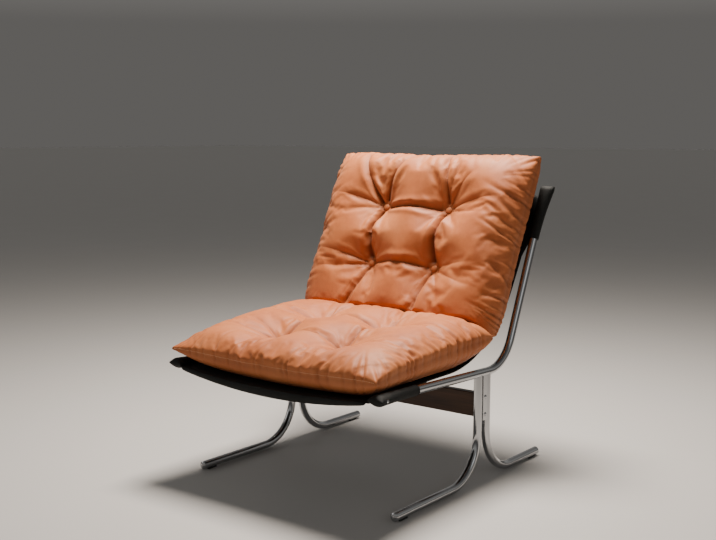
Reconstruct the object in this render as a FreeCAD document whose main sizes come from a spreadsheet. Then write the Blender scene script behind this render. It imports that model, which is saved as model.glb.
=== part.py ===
"""Lounge chair: bent chrome tube frame, black sling and two loose tufted leather cushions.

Millimetres and degrees. +Z is up, the chair faces -Y, its right side (seen from the front) is +X,
and the origin is on the floor under the middle of the chair.
"""
import FreeCAD
import Part
import math
import os
import Sketcher
from FreeCAD import Placement, Rotation, Vector

X_AXIS = Vector(1, 0, 0)
Y_AXIS = Vector(0, 1, 0)
Z_AXIS = Vector(0, 0, 1)
SIDES = (("right", 1), ("left", -1))

SIZES = (
    # Bent tube frame
    ("rail_spacing", 640, "centre to centre of the two side frames"),
    ("tube_diameter", 22, "outside of every tube"),
    ("tube_wall", 2, "wall of every tube"),
    ("bend_radius", 120, "centreline radius of every tube bend"),
    ("post_set_back", 70, "leg posts behind the origin"),
    ("rail_height", 290, "rail axis above the floor at the posts"),
    ("seat_rise", 2.2, "climb of the seat rail towards the front, degrees"),
    ("back_recline", 23.9, "lean of the back rail from upright, degrees"),
    ("corner_set_back", 110, "where the seat and back lines meet, behind the posts"),
    ("seat_run", 570, "front end of the rail to that meeting point"),
    ("back_run", 505, "that meeting point to the top end of the rail"),
    ("leg_pitch", 41, "centre to centre of the two legs of one side"),
    ("cope_trim", 3, "coped leg ends below the rail axis"),
    ("front_foot_reach", 385, "posts to the front end of the foot tube"),
    ("rear_foot_reach", 293, "posts to the rear end of the foot tube"),
    ("cap_depth", 14, "plug of an end cap inside the tube"),
    ("cap_dome", 4, "dome of a foot end cap"),
    ("rail_plug_depth", 24, "plug inside each rail end"),
    ("rail_plug_dome", 2, "crown of that plug outside the tube"),
    ("glide_height", 2, "floor glide below the foot tube"),
    ("glide_length", 30, "floor glide along the foot"),
    ("glide_width", 14, "floor glide across the foot"),
    ("glide_wrap", 2.5, "how far the glide climbs the tube"),
    ("glide_inset", 30, "middle of the glide from the end of the foot tube"),
    # Stretcher board and its fixings
    ("web_drop", 124, "rail axis to the lower end of the web between two legs"),
    ("web_wall", 2.5, "wall of the web's box section"),
    ("web_recess", 1, "web face behind the legs' outer line"),
    ("stretcher_drop", 85.5, "rail axis to the middle of the board"),
    ("stretcher_height", 64, "board height"),
    ("stretcher_thickness", 22, "board thickness"),
    ("stretcher_round", 3, "round on the board's long edges"),
    ("bolt_pitch", 46, "height between the two bolts of one end"),
    ("bolt_diameter", 6, "bolt shank"),
    ("bolt_bite", 48, "bolt length inside the board"),
    ("bolt_head_diameter", 11, "domed bolt head"),
    ("bolt_head_height", 3.3, "domed bolt head"),
    ("nut_diameter", 10, "barrel nut"),
    ("nut_length", 14, "barrel nut"),
    ("nut_inset", 36, "barrel nut from the board's end"),
    ("fit_gap", 0.1, "room round a bolt, screw or barrel nut"),
    # Sling
    ("sling_thickness", 3, "panel cloth"),
    ("sling_front", 400, "front edge of the panel ahead of the origin"),
    ("sling_height", 304, "upper face of the panel at its sides, under the seat"),
    ("sling_lean", 28, "lean of the panel's back from upright, degrees"),
    ("sling_bend", 320, "radius of the hammock bend"),
    ("sling_sag", 16, "sag of the panel between the rails, under the seat"),
    ("sling_back_sag", 8, "sag of the panel between the rails, in the back"),
    ("sling_edge_gap", 23, "free edge inside the rail axis, at the pockets"),
    ("sling_edge_hollow", 6, "extra hollow of the free edge half way"),
    ("sling_top", 132, "top edge of the panel from the lower end of the top pockets"),
    ("hem_depth", 15, "hem turned down in the middle of the front edge"),
    ("hem_end_depth", 5, "the same hem at its ends"),
    ("hem_thickness", 5, "hem cloth"),
    ("top_hem_width", 25, "hem behind the top edge"),
    ("front_pocket_length", 172, "pocket on the front end of a rail"),
    ("top_pocket_length", 155, "pocket on the top end of a rail"),
    ("pocket_wall", 3, "pocket cloth"),
    ("pocket_flare", 15, "closed end of the pocket beyond the sleeve, outwards"),
    ("pocket_lip", 5, "half thickness of the sewn closed end"),
    ("pocket_overhang", 12, "closed end of the pocket beyond the tube's end"),
    ("screw_inset", 12, "pocket screw from the end of the rail"),
    ("screw_diameter", 4, "pocket screw shank"),
    ("screw_bite", 11, "pocket screw inside the tube"),
    ("screw_sink", 1, "pocket screw's head set into the cloth"),
    ("screw_head_diameter", 9, "pocket screw head"),
    ("screw_head_height", 3, "pocket screw head"),
    # Both cushions
    ("cushion_width", 674, "over the corners"),
    ("side_draw", 6, "side edges drawn in between the corners"),
    ("edge_draw", 12, "front, rear, top and bottom edges drawn in"),
    ("edge_fullness", 0.14, "thickness of the side edge as a part of the crown"),
    ("shoulder_width", 95, "rounded shoulder beside the side edge"),
    ("cushion_clearance", 1, "underside above the sling"),
    ("crease_gap", 2, "room between the two cushions"),
    ("edge_round", 48, "rounding under the front and top edges"),
    ("crown_round", 70, "front or top seam to the crown of its puffs"),
    ("crown_swell", 3, "swell of those puffs between that crown and the buttons"),
    ("cover_thickness", 1.6, "leather and its lining"),
    ("tuft_column_pitch", 216, "between the two button columns"),
    ("tuft_row_pitch", 172, "between the two button rows"),
    ("tuft_flat", 26, "flat at a button, along the column"),
    ("button_diameter", 22, "covered button"),
    ("button_height", 7, "covered button"),
    ("button_stem_diameter", 5, "stem under the button"),
    ("button_stem", 3, "stem under the button"),
    ("cord_diameter", 2, "tufting cord"),
    ("anchor_diameter", 20, "disc that holds the cord inside the filling"),
    ("anchor_thickness", 3, "disc that holds the cord inside the filling"),
    # Seat cushion
    ("seat_front", 398, "front seam ahead of the origin, at the corners"),
    ("seat_seam_height", 345, "front seam above the floor"),
    ("seat_tilt", 3.2, "climb of the seat cushion towards the back, degrees"),
    ("seat_edge_sag", 14, "sag of the front seam half way"),
    ("seat_contact", 66, "height of its flat face in the crease"),
    ("seat_crown", 63, "top of a puff above the seam"),
    ("seat_edge_fall", 10, "front puffs lower than the others"),
    ("seat_column_crown", 47, "top between the buttons of a column"),
    ("seat_row_dip", 51, "crease between the buttons of a row"),
    ("seat_tuft_height", 18, "seat of a button above the seam"),
    ("seat_cord_length", 55, "button to its anchor"),
    # Back cushion
    ("back_seam_offset", 72, "seam in front of the back rail's axis"),
    ("back_cushion_top", 580, "top seam from the rail's corner, along the back"),
    ("back_contact", 100, "height of its flat face in the crease"),
    ("back_crown", 82, "front of a puff before the seam"),
    ("back_edge_fall", 3, "top puffs lower than the others"),
    ("back_column_crown", 70, "front between the buttons of a column"),
    ("back_row_dip", 71, "crease between the buttons of a row"),
    ("back_tuft_height", 35, "seat of a button before the seam"),
    ("back_cord_length", 75, "button to its anchor"),
)

doc = FreeCAD.newDocument("lounge_chair")
sheet = doc.addObject("Spreadsheet::Sheet", "sizes")
for row, (alias, number, note) in enumerate(SIZES, start=1):
    sheet.set(f"A{row}", alias)
    sheet.set(f"B{row}", str(number))
    sheet.setAlias(f"B{row}", alias)
    sheet.set(f"C{row}", note)
doc.recompute()

nodes = []


def size(alias):
    """The number in one cell of the sheet."""
    return float(sheet.get(alias))


def value(expression):
    """The number that an expression on the sheet gives."""
    return FreeCAD.Units.Quantity(sheet.evalExpression(expression)).Value


def bind(thing, expressions):
    """Tie properties of an object to expressions on the sheet."""
    for path, expression in expressions.items():
        thing.setExpression(path, expression)


def node(thing, label):
    """Name a finished sub-part and keep it for writing."""
    thing.Label = label
    nodes.append(thing)
    return thing


def direction(angle):
    """Unit vector in the side view, so many degrees above +Y."""
    turn = math.radians(angle)
    return Vector(0, math.cos(turn), math.sin(turn))


def sketch_on(body, name, role):
    """A sketch on one of a body's own origin planes."""
    sketch = body.newObject("Sketcher::SketchObject", name)
    plane = next(plane for plane in body.Origin.OriginFeatures if plane.Role == role)
    sketch.AttachmentSupport = [(plane, "")]
    sketch.MapMode = "FlatFace"
    return sketch


def limit(sketch, kind, places, expression):
    """A dimension of a sketch that follows an expression."""
    start = value(expression)
    if kind == "Angle":
        start = math.radians(start)
    count = sketch.addConstraint(Sketcher.Constraint(kind, *places, start))
    sketch.setExpression(f"Constraints[{count}]", expression)


def rule(sketch, kind, *places):
    """A constraint of a sketch without a number."""
    sketch.addConstraint(Sketcher.Constraint(kind, *places))


def cylinder(name, radius, height, base, axis):
    """A round bar from base along axis, with its sizes bound to expressions."""
    bar = doc.addObject("Part::Cylinder", name)
    bind(bar, {"Radius": radius, "Height": height})
    bar.Placement = Placement(base, Rotation(Z_AXIS, axis))
    return bar


def cut(name, base, *tools):
    """Base without the tools."""
    if len(tools) > 1:
        joined = doc.addObject("Part::MultiFuse", f"{name}_tools")
        joined.Shapes = list(tools)
    else:
        joined = tools[0]
    result = doc.addObject("Part::Cut", name)
    result.Base = base
    result.Tool = joined
    return result


def group(label, pieces):
    """Separate equal pieces kept together in one node."""
    bunch = doc.addObject("Part::Compound", label)
    bunch.Links = pieces
    return node(bunch, label)


def feature(label, shape):
    """A node whose shape is made directly."""
    piece = doc.addObject("Part::Feature", label)
    piece.Shape = shape
    return node(piece, label)


# Places that several pieces share

rail_x = size("rail_spacing") / 2
tube_radius = size("tube_diameter") / 2
post_y = size("post_set_back")
foot_axis = size("glide_height") + tube_radius
rise = math.radians(size("seat_rise"))
seat_way = direction(-size("seat_rise"))
back_way = direction(90 - size("back_recline"))
back_face = direction(180 - size("back_recline"))
post_top = Vector(0, post_y, size("rail_height"))
rail_corner = post_top + seat_way * (size("corner_set_back") / math.cos(rise))
rail_front = rail_corner - seat_way * size("seat_run")
rail_top = rail_corner + back_way * size("back_run")
RAIL_TURN = "(90 - sizes.back_recline + sizes.seat_rise)"
LEG_HEIGHT = "(sizes.rail_height - sizes.cope_trim - sizes.glide_height - sizes.tube_diameter / 2)"
BORE_RADIUS = "sizes.tube_diameter / 2 - sizes.tube_wall"
POCKET_SHARE = "(1 - sizes.screw_inset / (sizes.front_pocket_length - sizes.pocket_overhang))"
SCREW_GRIP = f"sizes.pocket_wall + sizes.pocket_flare * {POCKET_SHARE} ^ 2 - sizes.screw_sink"
screw_seat = tube_radius + value(SCREW_GRIP)


def bent_tube(name, place, first_run, second_run, turn):
    """A tube along the body's Y axis and then up, bent once. Runs are measured to where they would meet."""
    body = doc.addObject("PartDesign::Body", name)
    body.Placement = place
    reach = f"sizes.bend_radius * tan({turn} / 2 * 1 deg)"
    bend = size("bend_radius")
    angle = math.radians(value(turn))
    straight = value(f"{first_run} - {reach}")
    centre = Vector(straight, bend, 0)
    middle = centre + Vector(math.sin(angle / 2), -math.cos(angle / 2), 0) * bend
    bend_end = centre + Vector(math.sin(angle), -math.cos(angle), 0) * bend
    end = bend_end + Vector(math.cos(angle), math.sin(angle), 0) * value(f"{second_run} - {reach}")
    path = sketch_on(body, f"{name}_path", "YZ_Plane")
    path.addGeometry(Part.LineSegment(Vector(), Vector(straight, 0, 0)))
    path.addGeometry(Part.Arc(Vector(straight, 0, 0), middle, bend_end))
    path.addGeometry(Part.LineSegment(bend_end, end))
    rule(path, "Coincident", 0, 1, -1, 1)
    rule(path, "Horizontal", 0)
    rule(path, "Tangent", 0, 2, 1, 1)
    rule(path, "Tangent", 1, 2, 2, 1)
    limit(path, "Radius", (1,), "sizes.bend_radius")
    limit(path, "Distance", (0,), f"{first_run} - {reach}")
    limit(path, "Distance", (2,), f"{second_run} - {reach}")
    limit(path, "Angle", (-1, 1, 2, 1), f"{turn} * 1 deg")
    section = sketch_on(body, f"{name}_section", "XZ_Plane")
    for radius in ("sizes.tube_diameter / 2", BORE_RADIUS):
        circle = section.addGeometry(Part.Circle(Vector(), Z_AXIS, value(radius)))
        rule(section, "Coincident", circle, 3, -1, 1)
        limit(section, "Radius", (circle,), radius)
    pipe = body.newObject("PartDesign::AdditivePipe", f"{name}_pipe")
    pipe.Profile = section
    pipe.Spine = (path, ["Edge1", "Edge2", "Edge3"])
    return body


def rail_tube(name, side):
    """One side rail, from its front end: the seat run, the bend and the back run."""
    place = Placement(rail_front + X_AXIS * (side * rail_x), Rotation(-X_AXIS, size("seat_rise")))
    return bent_tube(name, place, "sizes.seat_run", "sizes.back_run", RAIL_TURN)


def leg_tube(name, side, way, reach_alias):
    """One leg, from the end of its foot: along the floor and up to the rail. Way is -1 in front, 1 behind."""
    foot_end = Vector(side * rail_x, post_y + way * size(reach_alias), foot_axis)
    place = Placement(foot_end, Rotation(Z_AXIS, 0 if way < 0 else 180))
    return bent_tube(name, place, f"(sizes.{reach_alias} - sizes.leg_pitch / 2)", LEG_HEIGHT, "90")


def turned(name, place, shank_radius, shank_length, head_radius, head_height):
    """A shank with a domed head, turned about the body's Y axis, the head's seat at its origin."""
    body = doc.addObject("PartDesign::Body", name)
    body.Placement = place
    profile = sketch_on(body, f"{name}_profile", "XY_Plane")
    thin, deep, wide, high = [value(s) for s in (shank_radius, shank_length, head_radius, head_height)]
    corners = (
        Vector(0, -deep, 0),
        Vector(thin, -deep, 0),
        Vector(thin, 0, 0),
        Vector(wide, 0, 0),
        Vector(0, high, 0),
    )
    for start, end in zip(corners[:3], corners[1:4]):
        profile.addGeometry(Part.LineSegment(start, end))
    dome = (wide ** 2 + high ** 2) / (2 * high)
    rim = math.asin((dome - high) / dome)
    dome_circle = Part.Circle(Vector(0, high - dome, 0), Z_AXIS, dome)
    profile.addGeometry(Part.ArcOfCircle(dome_circle, rim, math.pi / 2))
    profile.addGeometry(Part.LineSegment(corners[4], corners[0]))
    rule(profile, "Coincident", 0, 2, 1, 1)
    rule(profile, "Coincident", 1, 2, 2, 1)
    rule(profile, "Coincident", 2, 2, 3, 1)
    rule(profile, "Coincident", 3, 2, 4, 1)
    rule(profile, "Coincident", 4, 2, 0, 1)
    rule(profile, "Horizontal", 0)
    rule(profile, "Vertical", 1)
    rule(profile, "PointOnObject", 1, 2, -1)
    rule(profile, "Horizontal", 2)
    rule(profile, "PointOnObject", 3, 3, -2)
    rule(profile, "PointOnObject", 4, 1, -2)
    rule(profile, "PointOnObject", 4, 2, -2)
    limit(profile, "DistanceX", (-1, 1, 1, 2), shank_radius)
    limit(profile, "DistanceY", (0, 2, -1, 1), shank_length)
    limit(profile, "DistanceX", (-1, 1, 2, 2), head_radius)
    limit(profile, "DistanceY", (-1, 1, 3, 2), head_height)
    spun = body.newObject("PartDesign::Revolution", f"{name}_spun")
    spun.Profile = profile
    spun.ReferenceAxis = (profile, ["V_Axis"])
    spun.Angle = 360
    return body


def facing(place, way):
    """Placement that sets a turned piece at a place, its head towards way."""
    return Placement(place, Rotation(Y_AXIS, way))


# Side frames: rails, legs and the webs between the legs

screws = []
for side_name, side in SIDES:
    across = X_AXIS * (side * rail_x)
    outwards = X_AXIS * side
    seat = rail_front + across + seat_way * size("screw_inset") + outwards * screw_seat
    screws.append(turned(
        f"{side_name}_pocket_screw",
        facing(seat, outwards),
        "sizes.screw_diameter / 2",
        f"{SCREW_GRIP} + sizes.screw_bite",
        "sizes.screw_head_diameter / 2",
        "sizes.screw_head_height",
    ))
    screw_hole = cylinder(
        f"{side_name}_screw_hole", "sizes.screw_diameter / 2 + sizes.fit_gap",
        f"{SCREW_GRIP} + sizes.screw_bite", seat, -outwards,
    )
    rail = cut(f"{side_name}_rail_drilled", rail_tube(f"{side_name}_rail_tube", side), screw_hole)
    node(rail, f"{side_name}_side_rail")
    cope_start = post_top + across - seat_way * size("leg_pitch") * 2
    cope = cylinder(
        f"{side_name}_cope", "sizes.tube_diameter / 2", "sizes.leg_pitch * 4", cope_start, seat_way
    )
    for leg_name, way, reach_alias in (("front", -1, "front_foot_reach"), ("rear", 1, "rear_foot_reach")):
        name = f"{side_name}_{leg_name}_leg"
        node(cut(f"{name}_coped", leg_tube(f"{name}_tube", side, way, reach_alias), cope), name)
    web = doc.addObject("Part::Box", f"{side_name}_web_outside")
    bind(web, {
        "Length": "sizes.tube_diameter - 2 * sizes.web_recess",
        "Width": "sizes.leg_pitch - sizes.tube_diameter",
        "Height": "sizes.web_drop",
    })
    web_foot = size("rail_height") - size("web_drop")
    web_width = size("leg_pitch") - size("tube_diameter")
    web_corner = Vector(size("web_recess") - tube_radius, post_y - web_width / 2, web_foot) + across
    web.Placement.Base = web_corner
    hollow = doc.addObject("Part::Box", f"{side_name}_web_inside")
    bind(hollow, {
        "Length": "sizes.tube_diameter - 2 * sizes.web_recess - 2 * sizes.web_wall",
        "Width": "sizes.leg_pitch - sizes.tube_diameter - 2 * sizes.web_wall",
        "Height": "sizes.web_drop",
    })
    hollow.Placement.Base = web_corner + Vector(1, 1, 1) * size("web_wall")
    bolt_holes = []
    for level in (-1, 1):
        height = size("rail_height") - size("stretcher_drop") + level * size("bolt_pitch") / 2
        bolt_holes.append(cylinder(
            f"{side_name}_web_hole_{level + 1}", "sizes.bolt_diameter / 2 + sizes.fit_gap",
            "sizes.tube_diameter", Vector(side * rail_x - tube_radius, post_y, height), X_AXIS,
        ))
    node(cut(f"{side_name}_web_drilled", web, hollow, cope, *bolt_holes), f"{side_name}_post_web")

group("pocket_screws", screws)


# Stretcher board, bolted end on to the webs with barrel nuts

board_end = rail_x - tube_radius + size("web_recess")
board_middle = size("rail_height") - size("stretcher_drop")
BOARD_LENGTH = "sizes.rail_spacing - sizes.tube_diameter + 2 * sizes.web_recess"
BOLT_LENGTH = "sizes.tube_diameter - 2 * sizes.web_recess + sizes.bolt_bite"
board = doc.addObject("PartDesign::Body", "stretcher_board")
board.Placement.Base = Vector(0, post_y, board_middle)
board_section = sketch_on(board, "stretcher_section", "YZ_Plane")
half_thick = size("stretcher_thickness") / 2
half_high = size("stretcher_height") / 2
board_corners = [Vector(y * half_thick, z * half_high, 0) for y, z in ((-1, -1), (1, -1), (1, 1), (-1, 1))]
for start, end in zip(board_corners, board_corners[1:] + board_corners[:1]):
    board_section.addGeometry(Part.LineSegment(start, end))
for line in range(4):
    rule(board_section, "Coincident", line, 2, (line + 1) % 4, 1)
    rule(board_section, "Vertical" if line % 2 else "Horizontal", line)
rule(board_section, "Symmetric", 0, 1, 2, 1, -1, 1)
limit(board_section, "DistanceX", (0, 1, 0, 2), "sizes.stretcher_thickness")
limit(board_section, "DistanceY", (1, 1, 1, 2), "sizes.stretcher_height")
board_pad = board.newObject("PartDesign::Pad", "stretcher_pad")
board_pad.Profile = board_section
board_pad.SideType = "Symmetric"
board_pad.setExpression("Length", BOARD_LENGTH)
doc.recompute()
long_edges = [
    f"Edge{count}" for count, edge in enumerate(board_pad.Shape.Edges, start=1) if edge.Length > board_end
]
board_round = board.newObject("PartDesign::Fillet", "stretcher_round")
board_round.Base = (board_pad, long_edges)
board_round.setExpression("Radius", "sizes.stretcher_round")

bolts, nuts, board_holes = [], [], []
for side_name, side in SIDES:
    outwards = X_AXIS * side
    for level in (-1, 1):
        name = f"{side_name}_{'lower' if level < 0 else 'upper'}"
        height = board_middle + level * size("bolt_pitch") / 2
        end = Vector(side * board_end, post_y, height)
        head = end + outwards * (size("tube_diameter") - 2 * size("web_recess"))
        bolts.append(turned(
            f"{name}_bolt", facing(head, outwards), "sizes.bolt_diameter / 2", BOLT_LENGTH,
            "sizes.bolt_head_diameter / 2", "sizes.bolt_head_height",
        ))
        bore = cylinder(
            f"{name}_bolt_bore", "sizes.bolt_diameter / 2 + sizes.fit_gap", "sizes.bolt_bite + sizes.fit_gap",
            end, -outwards,
        )
        nut_back = end - outwards * size("nut_inset") + Y_AXIS * (size("stretcher_thickness") / 2)
        nut_bore = cylinder(
            f"{name}_nut_bore", "sizes.nut_diameter / 2 + sizes.fit_gap",
            "sizes.stretcher_thickness / 2 + sizes.nut_length / 2", nut_back, -Y_AXIS,
        )
        board_holes += [bore, nut_bore]
        nut_end = end - outwards * size("nut_inset") + Y_AXIS * (size("nut_length") / 2)
        nut = cylinder(f"{name}_nut_blank", "sizes.nut_diameter / 2", "sizes.nut_length", nut_end, -Y_AXIS)
        thread = cylinder(
            f"{name}_nut_thread", "sizes.bolt_diameter / 2", "sizes.nut_diameter + 2",
            nut_end - Y_AXIS * (size("nut_length") / 2) + outwards * (size("nut_diameter") / 2 + 1),
            -outwards,
        )
        nuts.append(cut(f"{name}_nut", nut, thread))
node(cut("stretcher_drilled", board, *board_holes), "stretcher")
group("stretcher_bolts", bolts)
group("stretcher_barrel_nuts", nuts)


# End caps, rail plugs and floor glides

caps, plugs, glides = [], [], []
for side_name, side in SIDES:
    across = X_AXIS * (side * rail_x)
    for foot_name, way, reach_alias in (("front", -1, "front_foot_reach"), ("rear", 1, "rear_foot_reach")):
        name = f"{side_name}_{foot_name}"
        foot_end = Vector(0, post_y + way * size(reach_alias), foot_axis) + across
        caps.append(turned(
            f"{name}_cap", facing(foot_end, Y_AXIS * way), BORE_RADIUS, "sizes.cap_depth",
            "sizes.tube_diameter / 2", "sizes.cap_dome",
        ))
        pad = doc.addObject("Part::Box", f"{name}_glide_block")
        bind(pad, {
            "Length": "sizes.glide_width",
            "Width": "sizes.glide_length",
            "Height": "sizes.glide_height + sizes.glide_wrap",
        })
        middle = foot_end - Y_AXIS * (way * size("glide_inset"))
        pad.Placement.Base = Vector(
            middle.x - size("glide_width") / 2, middle.y - size("glide_length") / 2, 0
        )
        bed = cylinder(
            f"{name}_glide_bed", "sizes.tube_diameter / 2", "2 * sizes.glide_length",
            middle - Y_AXIS * size("glide_length"), Y_AXIS,
        )
        glides.append(cut(f"{name}_glide", pad, bed))
    for end_name, end, way in (("front", rail_front, -seat_way), ("top", rail_top, back_way)):
        name = f"{side_name}_{end_name}"
        plug = turned(
            f"{name}_plug_blank", facing(end + across, way), BORE_RADIUS, "sizes.rail_plug_depth",
            "sizes.tube_diameter / 2", "sizes.rail_plug_dome",
        )
        drill = cylinder(
            f"{name}_plug_drill", "sizes.screw_diameter / 2", "sizes.tube_diameter",
            end + across - way * size("screw_inset") - X_AXIS * tube_radius, X_AXIS,
        )
        plugs.append(cut(f"{name}_plug", plug, drill))
group("foot_end_caps", caps)
group("rail_end_plugs", plugs)
group("floor_glides", glides)


# Sling: a hammock panel between four pockets that slip over the rail ends

half_span = rail_x - tube_radius
sling_way = direction(90 - size("sling_lean"))
sling_face = direction(180 - size("sling_lean"))
front_pocket_end = rail_front - seat_way * size("pocket_overhang")
top_pocket_end = rail_top + back_way * size("pocket_overhang")
pocket_foot = top_pocket_end - back_way * size("top_pocket_length")


class SlingLine:
    """Side view of the sling at x, so far above its upper face: a seat run, a bend and a back run."""

    def __init__(self, x, above):
        drop = 1 - (x / half_span) ** 2
        level = size("sling_height") - size("sling_sag") * drop + above
        self.hung = pocket_foot + sling_face * (above - size("sling_back_sag") * drop)
        corner = self.hung - sling_way * ((self.hung.z - level) / sling_way.z)
        self.radius = size("sling_bend") - above
        reach = self.radius * math.tan(math.radians(90 - size("sling_lean")) / 2)
        self.start = corner - Y_AXIS * reach
        self.end = corner + sling_way * reach
        self.centre = self.start + Z_AXIS * self.radius

    def on_bend(self, one, other):
        """The point of the bend half way between two others."""
        return self.centre + ((one + other) * 0.5 - self.centre).normalize() * self.radius

    def meet(self, place, way):
        """Where a line cuts the bend, at its lower end."""
        offset = self.centre - place
        middle = offset.dot(way)
        return place + way * (middle - math.sqrt(self.radius ** 2 - offset.dot(offset) + middle ** 2))


def closed_wire(x, corners):
    """A closed wire at x, from (corner, bulge to the next corner or None) pairs of the side view."""
    edges = []
    shift = X_AXIS * x
    for (start, bulge), (end, _) in zip(corners, corners[1:] + corners[:1]):
        if bulge is None:
            edges.append(Part.LineSegment(start + shift, end + shift).toShape())
        else:
            edges.append(Part.Arc(start + shift, bulge + shift, end + shift).toShape())
    return Part.Wire(edges)


def sling_section(x):
    """The panel cut at x."""
    top, under = SlingLine(x, 0), SlingLine(x, -size("sling_thickness"))
    front = Vector(0, -size("sling_front"), top.start.z)
    front_under = Vector(0, -size("sling_front"), under.start.z)
    upper = top.hung + sling_way * size("sling_top")
    upper_under = under.hung + sling_way * size("sling_top")
    return closed_wire(x, [
        (front, None),
        (top.start, top.on_bend(top.start, top.end)),
        (top.end, None),
        (upper, None),
        (upper_under, None),
        (under.end, under.on_bend(under.start, under.end)),
        (under.start, None),
        (front_under, None),
    ])


def oval(centre, wide, high, across, up):
    """Four arcs round a centre."""
    points = []
    for step in range(8):
        turn = math.radians(45 * step)
        points.append(centre + across * (wide * math.cos(turn)) + up * (high * math.sin(turn)))
    points.append(points[0])
    return Part.Wire([Part.Arc(*points[at:at + 3]).toShape() for at in (0, 2, 4, 6)])


def pocket_outside(closed_end, way, length, side):
    """The pocket's outer form: a round sleeve that flares to a flat sewn end. Way points to that end."""
    up = way.cross(X_AXIS * side) * side
    sleeve = tube_radius + size("pocket_wall")
    flare = size("pocket_flare")
    tip = size("pocket_overhang")
    axis = X_AXIS * (side * rail_x)
    sections = []
    for share in (0, 0.3, 0.6, 0.8, 1):
        wider = flare / 2 * share ** 2
        centre = closed_end - way * (tip + (length - tip) * (1 - share)) + axis + X_AXIS * (side * wider)
        sections.append(oval(centre, sleeve + wider, sleeve, X_AXIS, up))
    for share in (0.5, 0):
        high = size("pocket_lip") + (sleeve - size("pocket_lip")) * math.sqrt(share)
        centre = closed_end - way * (tip * share) + axis + X_AXIS * (side * flare / 2)
        sections.append(oval(centre, sleeve + flare / 2, high, X_AXIS, up))
    return Part.makeLoft(sections, True)


pocket_forms = {}
for side_name, side in SIDES:
    axis = X_AXIS * (side * rail_x)
    pocket_forms[f"{side_name}_front_pocket"] = (
        pocket_outside(front_pocket_end, -seat_way, size("front_pocket_length"), side),
        rail_front + axis, -seat_way, size("front_pocket_length"),
    )
    pocket_forms[f"{side_name}_top_pocket"] = (
        pocket_outside(top_pocket_end, back_way, size("top_pocket_length"), side),
        rail_top + axis, back_way, size("top_pocket_length"),
    )
screw_shapes = [
    Part.makeCylinder(
        size("screw_diameter") / 2 + size("fit_gap"),
        size("pocket_wall") + size("pocket_flare") + tube_radius,
        rail_front + X_AXIS * (side * rail_x) + seat_way * size("screw_inset"),
        X_AXIS * side,
    )
    for _, side in SIDES
]
head_shapes = [
    Part.makeCylinder(
        size("screw_head_diameter") / 2 + size("fit_gap"),
        size("pocket_flare"),
        rail_front + X_AXIS * (side * (rail_x + screw_seat)) + seat_way * size("screw_inset"),
        X_AXIS * side,
    )
    for _, side in SIDES
]
for label, (outside, tube_end, way, length) in pocket_forms.items():
    bore = Part.makeCylinder(tube_radius, length, tube_end - way * length, way)
    plug_crown = Part.makeCylinder(tube_radius, size("rail_plug_dome"), tube_end, way)
    feature(label, outside.cut([bore, plug_crown, *screw_shapes, *head_shapes]))

panel_half = rail_x - tube_radius / 2
panel = Part.makeLoft([sling_section(panel_half * share) for share in (-1, -0.5, 0, 0.5, 1)], True)
edge_line = SlingLine(half_span, 0)
crease_way = (sling_way - Y_AXIS).normalize()
crease_middle = edge_line.centre - crease_way * edge_line.radius
crease_side = Vector(0, crease_way.z, -crease_way.y)
free_start = front_pocket_end + seat_way * size("front_pocket_length")
edge_from = (free_start - crease_middle).dot(crease_side)
edge_to = (pocket_foot - crease_middle).dot(crease_side)
deep = size("seat_run")
edge_middle = crease_middle - crease_way * deep
for _, side in SIDES:
    ends = [
        edge_middle + crease_side * at + X_AXIS * (side * (rail_x - size("sling_edge_gap")))
        for at in (edge_from, edge_to)
    ]
    hollow = (ends[0] + ends[1]) * 0.5 - X_AXIS * (side * size("sling_edge_hollow"))
    outside = [end + X_AXIS * (side * rail_x) for end in ends]
    rim = Part.Wire([
        Part.Arc(ends[0], hollow, ends[1]).toShape(),
        Part.LineSegment(ends[1], outside[1]).toShape(),
        Part.LineSegment(outside[1], outside[0]).toShape(),
        Part.LineSegment(outside[0], ends[0]).toShape(),
    ])
    panel = panel.cut(Part.Face(rim).extrude(crease_way * (2 * deep)))
clear = tube_radius + size("pocket_wall") / 2
for outside, tube_end, way, length in pocket_forms.values():
    tube_room = Part.makeCylinder(clear, length, tube_end - way * (length + size("sling_edge_gap")), way)
    panel = panel.cut([outside, tube_room])
feature("sling_panel", panel)


hem_half = half_span - size("pocket_wall") - size("pocket_flare")


def edge_band(near, far, sweep):
    """A strip along a sagging edge, from an arc through near points to one through far ones, swept."""
    outline = Part.Wire([
        Part.Arc(*near).toShape(),
        Part.LineSegment(near[2], far[2]).toShape(),
        Part.Arc(*far).toShape(),
        Part.LineSegment(far[0], near[0]).toShape(),
    ])
    return Part.Face(outline).extrude(sweep)


front_line, front_drop, top_line, top_back = [], [], [], []
for x, drop in ((-hem_half, "hem_end_depth"), (0, "hem_depth"), (hem_half, "hem_end_depth")):
    front = Vector(x, -size("sling_front"), SlingLine(x, 0).start.z)
    front_line.append(front)
    front_drop.append(front - Z_AXIS * size(drop))
    behind = SlingLine(x, -size("sling_thickness")).hung + sling_way * size("sling_top") + X_AXIS * x
    top_line.append(behind)
    top_back.append(behind - sling_face * size("hem_thickness"))
feature("sling_front_hem", edge_band(front_line, front_drop, -Y_AXIS * size("hem_thickness")))
feature("sling_top_hem", edge_band(top_line, top_back, -sling_way * size("top_hem_width")))


# Cushions: lofts across the chair, with three puffs each way between two button rows and columns

half_width = size("cushion_width") / 2
shoulder = half_width - size("shoulder_width")
column = size("tuft_column_pitch") / 2
QUARTER = math.sqrt(0.5)


def fullness(x):
    """How much of its crown a cushion keeps at x: all of it up to the shoulder, little at the side edge."""
    past = min(1.0, max(0.0, abs(x) - shoulder) / size("shoulder_width"))
    return max(size("edge_fullness"), math.sqrt(1 - past ** 2))


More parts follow.
